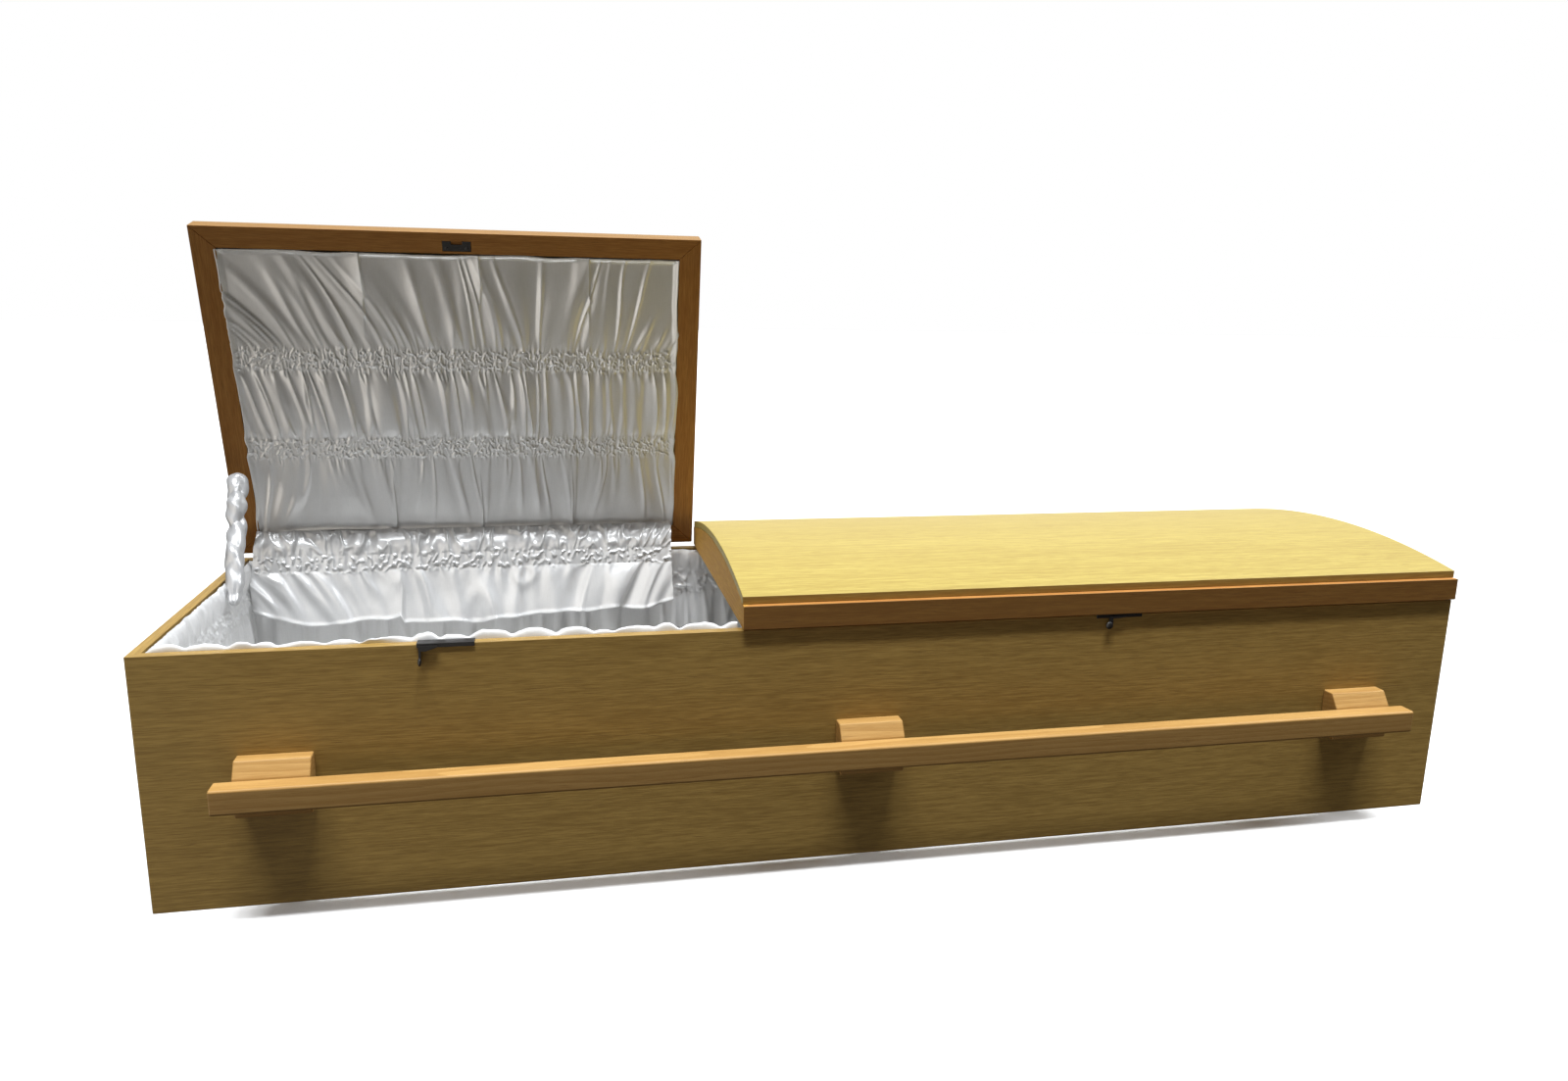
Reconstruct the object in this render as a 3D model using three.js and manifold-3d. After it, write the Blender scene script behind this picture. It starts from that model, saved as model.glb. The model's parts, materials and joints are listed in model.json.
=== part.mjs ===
// A wooden casket with a lid in two parts: the head lid stands open on a sleeved stay, the foot
// lid is closed. A plain board box carries a round-edged hand rail on blocks along each long side.
// Millimetres, +Z up. +X runs from the head end to the foot end, the front faces -Y, and the
// origin is on the floor under the middle of the box.

import * as THREE from 'three';
import { mergeVertices } from 'three/addons/utils/BufferGeometryUtils.js';
import Module from 'manifold-3d';

const wasm = await Module();
wasm.setup();

// Box
const LENGTH = 2050;
const WIDTH = 580;
const RIM = 375;
const BOARD = 16;
const FLOOR_BOARD = 15;
const FIT = 0.3;

// Lids, described as they lie when closed
const HEAD_LID = 828;
const LID_SPLIT = 3;
const LID_LIFT = 2;
const LID_LAP = 2;
const FRONT_LAP = 5.5;
const FRAME_WIDE = 38;
const FRONT_WIDE = 35;
const FRAME_TALL = 36;
const TOP_SETBACK = 7;
const TOP_EDGE = 12;
const TOP_RISE = 30;
const TOP_BOARD = 12;
const ARCH_BOARD = 15;
const ARC_STEPS = 32;
const OPEN_ANGLE = 76.5;

// Hinges on the outside of the back
const HINGE_LONG = 70;
const LEAF_TALL = 26;
const LEAF_THICK = 1.6;
const KNUCKLE_RADIUS = 4;
const PIN_RADIUS = 2;
const PIN_PLAY = 0.1;
const KNUCKLE_GAP = 0.5;
const LEAF_CLEAR = 5;
const HEAD_HINGES = 2;
const FOOT_HINGES = 3;

// Hand rails and their blocks
const RAIL_LONG = 1840;
const RAIL_DEEP = 31;
const RAIL_TALL = 36.5;
const RAIL_BOTTOM = 170;
const RAIL_ROUND = 4;
const RAIL_END_ROUND = 2.5;
const BLOCK_WIDE = 100;
const BLOCK_SPACING = 848;
const BLOCK_DEEP = 36;
const BLOCK_TOP_DEEP = 21;
const BLOCK_BOTTOM = 151;
const BLOCK_TOP = 228;
const BLOCK_SLOPE_FOOT = 206.5;

// Catches: a plate over the front rim, a lever that slides in it, a keeper under the lid
const PLATE_LONG = 78;
const PLATE_THICK = 1.4;
const PLATE_LIP = 5;
const PLATE_OFFSET = -5;
const LEVER_BAR = 24;
const LEVER_TRAVEL = 20;
const LEVER_INSET = 4;
const LEVER_THICK = 3;
const LEVER_BELOW_RIM = 1.5;
const LEVER_TIP_TALL = 2;
const LEVER_ROOT_TALL = 7.5;
const LEVER_ROOT_LONG = 8;
const LEVER_DROP = 23;
const HOME_ROOT_TALL = 3.2;
const HOME_NECK_WIDE = 6;
const HOME_DROP = 16.5;
const HOME_ASIDE = 2.5;
const KNOB_ROUND = 6.2;
const KNOB_FLAT = 2.6;
const KEEPER_WIDE = 46;
const KEEPER_DEEP = 16;
const KEEPER_THICK = 3;
const KEEPER_BACK = 14.5;

// Satin lining
const WALL_PAD = 6;
const FLOOR_PAD = 6;
const PAD_BELOW_RIM = 5;
const LID_PAD = 10;
const LID_PAD_CLEAR = 1;
const APRON_THICK = 8;
const APRON_TOP = 368;
const APRON_HEM = 275;
const APRON_TOP_Y = 262;
const APRON_HEM_Y = 222;
const APRON_STRIP_WIDE = 17;
const APRON_STRIP_THICK = 3;

// Sleeved stay between the head wall and the open lid
const STAY_FOOT = new THREE.Vector3(-987, 91, 355);
const STAY_TIP = new THREE.Vector3(-1008, 240, 534);
const STAY_RADIUS = 13;
const STAY_SIDES = 12;

const wood = new THREE.MeshStandardMaterial({ color: 0xd2ab64, roughness: 0.42, metalness: 0 });
const satin = new THREE.MeshStandardMaterial({ color: 0xe6e4e2, roughness: 0.34, metalness: 0 });
const black = new THREE.MeshStandardMaterial({ color: 0x15110f, roughness: 0.38, metalness: 0.7 });

const casket = new THREE.Group();
const X = new THREE.Vector3(1, 0, 0);
const Y = new THREE.Vector3(0, 1, 0);
const Z = new THREE.Vector3(0, 0, 1);

const LID_FLOOR = RIM + LID_LIFT;
const FRAME_TOP = LID_FLOOR + FRAME_TALL;
const HALF_BOX = WIDTH / 2;
const HALF_LID = HALF_BOX + LID_LAP;
const LID_FRONT = -HALF_BOX - FRONT_LAP;
const FRONT_INSIDE = LID_FRONT + FRONT_WIDE;
const HALF_TOP = HALF_LID - TOP_SETBACK;
const HINGE_Y = HALF_LID + KNUCKLE_GAP + KNUCKLE_RADIUS;
const HINGE_Z = RIM + LID_LIFT / 2;

function mesh(name, geometry, material, parent = casket) {
  const part = new THREE.Mesh(geometry, material);
  part.name = name;
  parent.add(part);
  return part;
}

function shape(points) {
  return new THREE.Shape(points.map(([u, v]) => new THREE.Vector2(u, v)));
}

// A plan outline in X and Y, raised from one height to another
function raised(plan, low, high) {
  const geometry = new THREE.ExtrudeGeometry(shape(plan), { depth: high - low, bevelEnabled: false });
  return geometry.translate(0, 0, low);
}

// A section in Y and Z, run along X
function run(section, from, to, options = { bevelEnabled: false }) {
  const outline = Array.isArray(section) ? shape(section) : section;
  const geometry = new THREE.ExtrudeGeometry(outline, { depth: to - from, ...options });
  geometry.applyMatrix4(new THREE.Matrix4().makeBasis(Y, Z, X));
  return geometry.translate(from, 0, 0);
}

function block([x0, x1], [y0, y1], [z0, z1]) {
  const geometry = new THREE.BoxGeometry(x1 - x0, y1 - y0, z1 - z0);
  return geometry.translate((x0 + x1) / 2, (y0 + y1) / 2, (z0 + z1) / 2);
}

function rod(radius, from, to, y, z, sides = 20) {
  const geometry = new THREE.CylinderGeometry(radius, radius, to - from, sides);
  return geometry.rotateZ(Math.PI / 2).translate((from + to) / 2, y, z);
}

function solid(geometry) {
  const bare = geometry.clone();
  bare.deleteAttribute('normal');
  bare.deleteAttribute('uv');
  const merged = mergeVertices(bare, 1e-3);
  const vertProperties = new Float32Array(merged.attributes.position.array);
  const triVerts = new Uint32Array(merged.index.array);
  return new wasm.Manifold(new wasm.Mesh({ numProp: 3, vertProperties, triVerts }));
}

function geometryOf(manifold) {
  const result = manifold.getMesh();
  const geometry = new THREE.BufferGeometry();
  geometry.setAttribute('position', new THREE.BufferAttribute(result.vertProperties, 3));
  geometry.setIndex(new THREE.BufferAttribute(result.triVerts, 1));
  return geometry;
}

function joined(...geometries) {
  return geometryOf(geometries.map(solid).reduce((whole, piece) => whole.add(piece)));
}

// A board with both ends mitred: its outer edge is the longer one
function mitred(from, to, outer, inner, trim, slantFrom = Math.abs(inner - outer), slantTo = slantFrom) {
  return [
    [from + trim, outer],
    [to - trim, outer],
    [to - trim - slantTo, inner],
    [from + trim + slantFrom, inner],
  ];
}

function swapped(plan) {
  return plan.map(([u, v]) => [v, u]);
}

// Box boards
const halfLong = LENGTH / 2;
const insideX = halfLong - BOARD;
const insideY = HALF_BOX - BOARD;

for (const [name, side] of [['front_side', -1], ['back_side', 1]]) {
  mesh(name, raised(mitred(-halfLong, halfLong, side * HALF_BOX, side * insideY, 0), 0, RIM), wood);
}
for (const [name, side] of [['head_end', -1], ['foot_end', 1]]) {
  const plan = swapped(mitred(-HALF_BOX, HALF_BOX, side * halfLong, side * insideX, FIT));
  mesh(name, raised(plan, 0, RIM), wood);
}
mesh('floor_board', block(
  [-insideX + FIT, insideX - FIT],
  [-insideY + FIT, insideY - FIT],
  [0, FLOOR_BOARD],
), wood);

// Hand rail on three blocks, made for the front and turned round for the back
function roundedRail() {
  const outline = new THREE.Shape();
  const near = -HALF_BOX - BLOCK_DEEP - 2 * FIT;
  const far = near - RAIL_DEEP;
  const top = RAIL_BOTTOM + RAIL_TALL;
  const r = RAIL_ROUND;
  outline.absarc(far + r, RAIL_BOTTOM + r, r, Math.PI, 1.5 * Math.PI);
  outline.absarc(near - r, RAIL_BOTTOM + r, r, -0.5 * Math.PI, 0);
  outline.absarc(near - r, top - r, r, 0, 0.5 * Math.PI);
  outline.absarc(far + r, top - r, r, 0.5 * Math.PI, Math.PI);
  const end = RAIL_END_ROUND;
  const rounding = {
    bevelThickness: end,
    bevelSize: end,
    bevelOffset: -end,
    bevelSegments: 3,
    curveSegments: 4,
  };
  return run(outline, -RAIL_LONG / 2 + end, RAIL_LONG / 2 - end, rounding);
}

function railBlock(centre) {
  const face = -HALF_BOX - FIT;
  const section = [
    [face, BLOCK_BOTTOM],
    [face, BLOCK_TOP],
    [face - BLOCK_TOP_DEEP, BLOCK_TOP],
    [face - BLOCK_DEEP, BLOCK_SLOPE_FOOT],
    [face - BLOCK_DEEP, BLOCK_BOTTOM],
  ];
  return run(section, centre - BLOCK_WIDE / 2, centre + BLOCK_WIDE / 2);
}

for (const [side, turn] of [['front', 0], ['back', Math.PI]]) {
  const carrying = new THREE.Group();
  carrying.rotation.z = turn;
  casket.add(carrying);
  mesh(`${side}_hand_rail`, roundedRail(), wood, carrying);
  for (const [place, step] of [['head', -1], ['middle', 0], ['foot', 1]]) {
    const centre = step * BLOCK_SPACING * Math.cos(turn);
    mesh(`${side}_rail_block_${place}`, railBlock(centre), wood, carrying);
  }
}

// Lid tops: a board bent to a low arch, with upright front and back edges
const topEdge = FRAME_TOP + TOP_EDGE;
const topPeak = topEdge + TOP_RISE;
const topRadius = (HALF_TOP ** 2 + TOP_RISE ** 2) / (2 * TOP_RISE);
const topCentre = topPeak - topRadius;

function arc(radius, halfWidth) {
  const points = [];
  for (let step = 0; step <= ARC_STEPS; step += 1) {
    const y = -halfWidth + (2 * halfWidth * step) / ARC_STEPS;
    points.push([y, topCentre + Math.sqrt(radius ** 2 - y ** 2)]);
  }
  return points;
}

function lidTop(x0, x1) {
  const innerHalf = HALF_TOP - TOP_BOARD;
  const foot = FRAME_TOP + FIT;
  const section = [
    [-HALF_TOP, foot],
    ...arc(topRadius, HALF_TOP),
    [HALF_TOP, foot],
    [innerHalf, foot],
    ...arc(topRadius - TOP_BOARD, innerHalf).reverse(),
    [-innerHalf, foot],
  ];
  return run(section, x0, x1);
}

// End board of a lid: a mitred frame rail that rises into an arch under the bent top
function lidEnd(outer, inner) {
  const plan = swapped(mitred(LID_FRONT, HALF_LID, outer, inner, FIT, FRONT_WIDE, FRAME_WIDE));
  const rail = raised(plan, LID_FLOOR, FRAME_TOP);
  const archHalf = HALF_TOP - TOP_BOARD - FIT;
  const archBack = outer + Math.sign(inner - outer) * ARCH_BOARD;
  const section = [
    [-archHalf, FRAME_TOP - FRAME_TALL / 2],
    ...arc(topRadius - TOP_BOARD - FIT, archHalf),
    [archHalf, FRAME_TOP - FRAME_TALL / 2],
  ];
  return joined(rail, run(section, Math.min(outer, archBack), Math.max(outer, archBack)));
}

// Keeper: a small plate let into the front rail, with a notch where the catch takes hold
const keeperFront = LID_FRONT + KEEPER_BACK;

function keeper(centre) {
  const front = keeperFront;
  const low = LID_FLOOR;
  const high = LID_FLOOR + KEEPER_THICK;
  const notchHalf = KEEPER_WIDE / 5;
  const notchDeep = KEEPER_DEEP / 3;
  const half = KEEPER_WIDE / 2;
  const plan = [
    [centre - half, front],
    [centre - notchHalf, front],
    [centre - notchHalf, front + notchDeep],
    [centre + notchHalf, front + notchDeep],
    [centre + notchHalf, front],
    [centre + half, front],
    [centre + half, front + KEEPER_DEEP],
    [centre - half, front + KEEPER_DEEP],
  ];
  return raised(plan, low, high);
}

function keeperPocket(centre) {
  const half = KEEPER_WIDE / 2 + FIT;
  return block(
    [centre - half, centre + half],
    [keeperFront - FIT, keeperFront + KEEPER_DEEP + FIT],
    [LID_FLOOR - 1, LID_FLOOR + KEEPER_THICK + FIT],
  );
}

// Hinge: the fixed leaf holds the pin and the outer knuckles, the other leaf the middle knuckle
function fixedLeaf(centre) {
  const half = HINGE_LONG / 2;
  const quarter = half / 2;
  const face = HALF_BOX + FIT;
  const leafTop = HINGE_Z - LEAF_CLEAR;
  const depth = [face, face + LEAF_THICK];
  const plate = block([centre - half, centre + half], depth, [leafTop - LEAF_TALL, leafTop]);
  const pin = rod(PIN_RADIUS, centre - half, centre + half, HINGE_Y, HINGE_Z);
  const pieces = [plate, pin];
  for (const side of [-1, 1]) {
    const ends = [centre + side * quarter, centre + side * half].sort((a, b) => a - b);
    const bridgeLow = leafTop - LEAF_THICK;
    pieces.push(rod(KNUCKLE_RADIUS, ...ends, HINGE_Y, HINGE_Z));
    pieces.push(block(ends, [face, HINGE_Y], [bridgeLow, HINGE_Z - KNUCKLE_RADIUS + LEAF_THICK]));
  }
  return joined(...pieces);
}

function movingLeaf(centre) {
  const half = HINGE_LONG / 2;
  const reach = half / 2 - KNUCKLE_GAP;
  const face = HALF_LID + FIT;
  const leafLow = HINGE_Z + LEAF_CLEAR;
  const depth = [face, face + LEAF_THICK];
  const plate = block([centre - half, centre + half], depth, [leafLow, leafLow + LEAF_TALL]);
  const tab = block([centre - reach, centre + reach], depth, [HINGE_Z, leafLow + LEAF_THICK]);
  const knuckle = rod(KNUCKLE_RADIUS, centre - reach, centre + reach, HINGE_Y, HINGE_Z);
  const bore = rod(PIN_RADIUS + PIN_PLAY, centre - half, centre + half, HINGE_Y, HINGE_Z);
  const leaf = solid(plate).add(solid(tab)).add(solid(knuckle));
  return geometryOf(leaf.subtract(solid(bore)));
}

// One lid on its hinges, turned open about the hinge pins
function lid(prefix, x0, x1, openAngle, hingeCount) {
  const turning = new THREE.Group();
  const closed = new THREE.Group();
  turning.position.set(0, HINGE_Y, HINGE_Z);
  turning.rotation.x = -THREE.MathUtils.degToRad(openAngle);
  closed.position.set(0, -HINGE_Y, -HINGE_Z);
  turning.add(closed);
  casket.add(turning);

  const middle = (x0 + x1) / 2;
  const frontPlan = mitred(x0, x1, LID_FRONT, FRONT_INSIDE, 0, FRAME_WIDE);
  const frontRail = solid(raised(frontPlan, LID_FLOOR, FRAME_TOP));
  const pocket = solid(keeperPocket(middle));
  mesh(`${prefix}_lid_front_rail`, geometryOf(frontRail.subtract(pocket)), wood, closed);
  const backPlan = mitred(x0, x1, HALF_LID, HALF_LID - FRAME_WIDE, 0, FRAME_WIDE);
  mesh(`${prefix}_lid_back_rail`, raised(backPlan, LID_FLOOR, FRAME_TOP), wood, closed);
  mesh(`${prefix}_lid_head_board`, lidEnd(x0, x0 + FRAME_WIDE), wood, closed);
  mesh(`${prefix}_lid_foot_board`, lidEnd(x1, x1 - FRAME_WIDE), wood, closed);
  mesh(`${prefix}_lid_top`, lidTop(x0, x1), wood, closed);

  const inset = FRAME_WIDE + LID_PAD_CLEAR;
  const padLow = LID_FLOOR + LID_PAD_CLEAR;
  mesh(`${prefix}_lid_lining`, block(
    [x0 + inset, x1 - inset],
    [FRONT_INSIDE + LID_PAD_CLEAR, HALF_LID - inset],
    [padLow, padLow + LID_PAD],
  ), satin, closed);
  mesh(`${prefix}_lid_keeper`, keeper(middle), black, closed);

  for (let index = 1; index <= hingeCount; index += 1) {
    const centre = x0 + ((x1 - x0) * (index - 0.5)) / hingeCount;
    mesh(`${prefix}_hinge_${index}_box_leaf`, fixedLeaf(centre), black);
    mesh(`${prefix}_hinge_${index}_lid_leaf`, movingLeaf(centre), black, closed);
  }
  return closed;
}

const divide = -halfLong + HEAD_LID;
const headLid = lid('head', -halfLong - LID_LAP, divide - LID_SPLIT / 2, OPEN_ANGLE, HEAD_HINGES);
lid('foot', divide + LID_SPLIT / 2, halfLong + LID_LAP, 0, FOOT_HINGES);

// Catches, near the middle of their lids: the head lever is drawn back, the foot lever is home
function catchPlate(centre) {
  const half = PLATE_LONG / 2;
  const under = RIM + FIT;
  const lipBack = -HALF_BOX - FIT;
  const lipFront = lipBack - PLATE_THICK;
  const section = [
    [lipFront, under - PLATE_LIP],
    [lipFront, under + PLATE_THICK],
    [-insideY, under + PLATE_THICK],
    [-insideY, under],
    [lipBack, under],
    [lipBack, under - PLATE_LIP],
  ];
  return run(section, centre - half, centre + half);
}

// Lever: a wedge that thins away from its neck, and a flat round knob below the neck.
// Drawn back, the knob shows its edge; at home, the lever shows its face and hangs less low.
function catchLever(stem, home) {
  const back = -HALF_BOX - PLATE_THICK - 2 * FIT;
  const front = back - LEVER_THICK;
  const top = RIM - LEVER_BELOW_RIM;
  const knobHeight = RIM - (home ? HOME_DROP : LEVER_DROP);
  const neckHalf = (home ? HOME_NECK_WIDE : LEVER_THICK) / 2;
  const neckLeft = stem - neckHalf;
  const neckRight = stem + neckHalf;
  const rootTall = home ? HOME_ROOT_TALL : LEVER_ROOT_TALL;
  const wedge = new THREE.ExtrudeGeometry(shape([
    [neckLeft, top - rootTall],
    [stem + LEVER_ROOT_LONG, top - rootTall],
    [stem + LEVER_BAR, top - LEVER_TIP_TALL],
    [stem + LEVER_BAR, top],
    [neckLeft, top],
  ]), { depth: LEVER_THICK, bevelEnabled: false });
  wedge.rotateX(Math.PI / 2).translate(0, back, 0);
  const neck = block([neckLeft, neckRight], [front, back], [knobHeight, top]);
  const knobX = home ? KNOB_ROUND : KNOB_FLAT;
  const knobY = home ? KNOB_FLAT : KNOB_ROUND;
  const knob = new THREE.SphereGeometry(1, 16, 10);
  knob.rotateX(Math.PI / 2).scale(knobX, knobY, KNOB_ROUND);
  knob.translate(home ? stem - HOME_ASIDE : stem, back - knobY, knobHeight);
  return joined(wedge, neck, knob);
}

const headCatch = -halfLong + HEAD_LID / 2 + PLATE_OFFSET;
const footCatch = (divide + halfLong) / 2 + PLATE_OFFSET;
for (const [name, centre, travel] of [['head', headCatch, 0], ['foot', footCatch, LEVER_TRAVEL]]) {
  mesh(`${name}_catch_plate`, catchPlate(centre), black);
  const stem = centre - PLATE_LONG / 2 + LEVER_INSET + travel;
  mesh(`${name}_catch_lever`, catchLever(stem, travel > 0), black);
}

// Satin on the walls and the floor of the box
const padLow = FLOOR_BOARD + FIT;
const padHigh = RIM - PAD_BELOW_RIM;
const padOutY = insideY - FIT;
const padOutX = insideX - FIT;
const padInX = padOutX - WALL_PAD;
const padInY = padOutY - WALL_PAD;
for (const [name, side] of [['front_lining', -1], ['back_lining', 1]]) {
  const across = [side * padOutY, side * padInY].sort((a, b) => a - b);
  mesh(name, block([-padInX + FIT, padInX - FIT], across, [padLow, padHigh]), satin);
}
for (const [name, side] of [['head_lining', -1], ['foot_lining', 1]]) {
  const along = [side * padOutX, side * padInX].sort((a, b) => a - b);
  mesh(name, block(along, [-padOutY, padOutY], [padLow, padHigh]), satin);
}
mesh('floor_lining', block(
  [-padInX + FIT, padInX - FIT],
  [-padInY + FIT, padInY - FIT],
  [padLow, padLow + FLOOR_PAD],
), satin);

// Apron: a strip sewn along the back of the lid lining, and the flap that hangs from it into the box
const apronHead = -halfLong + FRAME_WIDE;
const apronFoot = divide - FRAME_WIDE;
const stripBack = insideY - 2 * FIT;
mesh('apron_strip', block(
  [apronHead, apronFoot],
  [stripBack - APRON_STRIP_WIDE, stripBack],
  [LID_FLOOR - FIT - APRON_STRIP_THICK, LID_FLOOR - FIT],
), satin, headLid);
mesh('apron', run([
  [APRON_TOP_Y - APRON_THICK, APRON_TOP],
  [APRON_HEM_Y - APRON_THICK, APRON_HEM],
  [APRON_HEM_Y, APRON_HEM],
  [APRON_TOP_Y, APRON_TOP],
], apronHead, apronFoot), satin);

// Stay: one round-ended sleeve from its foot inside the head wall to the frame of the open lid
function sleeve(foot, tip) {
  const length = foot.distanceTo(tip);
  const geometry = new THREE.CapsuleGeometry(STAY_RADIUS, length - 2 * STAY_RADIUS, 3, STAY_SIDES, 1);
  const lean = new THREE.Quaternion().setFromUnitVectors(Y, tip.clone().sub(foot).normalize());
  geometry.applyQuaternion(lean);
  const middle = foot.clone().add(tip).multiplyScalar(0.5);
  return geometry.translate(middle.x, middle.y, middle.z);
}
mesh('lid_stay', sleeve(STAY_FOOT, STAY_TIP), satin);

export default casket;
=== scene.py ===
import json
import math

import bmesh
import bpy
import numpy as np
from mathutils import Matrix, Vector


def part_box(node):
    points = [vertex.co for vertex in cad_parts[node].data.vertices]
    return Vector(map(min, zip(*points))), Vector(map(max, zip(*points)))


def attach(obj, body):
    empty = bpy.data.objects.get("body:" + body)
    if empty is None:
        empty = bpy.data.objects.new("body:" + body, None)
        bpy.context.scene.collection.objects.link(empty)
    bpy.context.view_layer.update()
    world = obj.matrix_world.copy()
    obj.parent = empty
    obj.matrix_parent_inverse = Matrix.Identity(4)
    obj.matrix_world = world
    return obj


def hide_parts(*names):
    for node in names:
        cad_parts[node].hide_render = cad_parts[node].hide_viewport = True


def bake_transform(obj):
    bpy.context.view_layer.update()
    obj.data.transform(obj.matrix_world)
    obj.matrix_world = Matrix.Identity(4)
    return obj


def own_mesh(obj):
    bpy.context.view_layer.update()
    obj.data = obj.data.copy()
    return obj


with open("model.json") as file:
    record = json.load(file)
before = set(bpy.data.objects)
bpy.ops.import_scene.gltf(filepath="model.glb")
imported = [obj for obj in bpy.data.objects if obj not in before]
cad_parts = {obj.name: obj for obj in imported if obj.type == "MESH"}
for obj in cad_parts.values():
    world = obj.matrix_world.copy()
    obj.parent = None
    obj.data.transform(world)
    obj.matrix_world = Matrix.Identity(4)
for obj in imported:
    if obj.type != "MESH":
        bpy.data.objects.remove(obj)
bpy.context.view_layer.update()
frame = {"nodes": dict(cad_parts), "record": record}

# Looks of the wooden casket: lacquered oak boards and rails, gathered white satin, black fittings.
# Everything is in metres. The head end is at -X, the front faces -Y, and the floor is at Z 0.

# Camera, as fitted to the straight edges of the box in an image of 1600 by 1103
IMAGE_WIDE = 1600
FOCAL_PIXELS = 1120.445
SENSOR = 36.0
CAMERA_AT = Vector((-0.460872, -1.820096, 0.850012))
CAMERA_PITCH = 0.214503
CAMERA_YAW = 0.209093
CAMERA_ROLL = 0.018637

# Frame sizes that the soft pieces are fitted to
HINGE_Y = 0.2965
HINGE_Z = 0.376
OPEN_TURN = math.radians(-76.5)
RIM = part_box("front_side")[1].z
INSIDE_X = -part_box("head_end")[0].x - 0.016
INSIDE_Y = 0.274
LID_FACE = 0.377

BODY_OF = {}
for body_name, node_names in frame["record"]["behaviour"]["bodies"].items():
    for node_name in node_names:
        BODY_OF[node_name] = body_name
SLOT_OF = {row["node"]: row["material_slot"] for row in frame["record"]["subparts"]}


# Node trees

class Wire:
    """One output in a node tree. Arithmetic on it adds Math nodes."""

    def __init__(self, tree, socket):
        self.tree = tree
        self.socket = socket

    def _math(self, operation, first, second):
        return self.tree.node("ShaderNodeMath", {0: first, 1: second}, operation=operation)

    def __add__(self, other):
        return self._math("ADD", self, other)

    def __radd__(self, other):
        return self._math("ADD", other, self)

    def __sub__(self, other):
        return self._math("SUBTRACT", self, other)

    def __rsub__(self, other):
        return self._math("SUBTRACT", other, self)

    def __mul__(self, other):
        return self._math("MULTIPLY", self, other)

    def __pow__(self, other):
        return self._math("POWER", self, other)


class Nodes:
    """A node tree being built: every node comes from node()."""

    def __init__(self, tree):
        self.tree = tree
        tree.nodes.clear()

    def node(self, kind, inputs=None, out=0, **settings):
        made = self.tree.nodes.new(kind)
        for name, value in settings.items():
            setattr(made, name, value)
        for name, value in (inputs or {}).items():
            if isinstance(value, Wire):
                self.tree.links.new(value.socket, made.inputs[name])
            else:
                made.inputs[name].default_value = value
        return Wire(self, made.outputs[out]) if made.outputs else None

    def noise(self, vector, scale, detail=2.0, roughness=0.5, distortion=0.0):
        """Noise with a scale of its own along each axis."""
        scaled = self.node("ShaderNodeVectorMath", {0: vector, 1: scale}, operation="MULTIPLY")
        return self.node("ShaderNodeTexNoise", {
            "Vector": scaled, "Scale": 1.0, "Detail": detail,
            "Roughness": roughness, "Distortion": distortion,
        })

    def stepped(self, value, low, high):
        """0 below low, 1 above high, smooth between."""
        inputs = {"Value": value, "From Min": low, "From Max": high}
        return self.node("ShaderNodeMapRange", inputs, interpolation_type="SMOOTHSTEP")

    def mixed(self, share, first, second):
        inputs = {0: share, 6: first, 7: second}
        return self.node("ShaderNodeMix", inputs, out=2, data_type="RGBA")

    def bump(self, height, strength, distance):
        inputs = {"Height": height, "Strength": strength, "Distance": distance}
        return self.node("ShaderNodeBump", inputs)

    def attribute(self, name):
        return self.node("ShaderNodeAttribute", out=1, attribute_name=name)


def new_finish(name):
    material = bpy.data.materials.new(name)
    material.use_nodes = True
    return material, Nodes(material.node_tree)


def close_finish(nodes, inputs):
    surface = nodes.node("ShaderNodeBsdfPrincipled", inputs)
    nodes.node("ShaderNodeOutputMaterial", {"Surface": surface})


# Finishes

def rgb(red, green, blue):
    return (red, green, blue, 1.0)


# Noise scales along, across and through the board or the cloth, and the depths of their relief
FIBRE_SCALE = (34.0, 720.0, 720.0)
STREAK_SCALE = (8.0, 230.0, 230.0)
DRIFT_SCALE = (0.7, 16.0, 16.0)
PORE_SCALE = (26.0, 1500.0, 1500.0)
RING_WANDER_SCALE = (1.6, 14.0, 14.0)
SLUB_SCALE = (900.0, 60.0, 60.0)
WEFT_SCALE = (120.0, 2400.0, 120.0)
PUCKER_SCALE = (55.0, 38.0, 40.0)
TWIST_SCALE = (2600.0,) * 3
PEEL_SCALE = (900.0,) * 3
WEAR_SCALE = (240.0,) * 3
OAK_RELIEF = 0.00025
SATIN_RELIEF = 0.0012
PEEL_RELIEF = 0.0002


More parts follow.
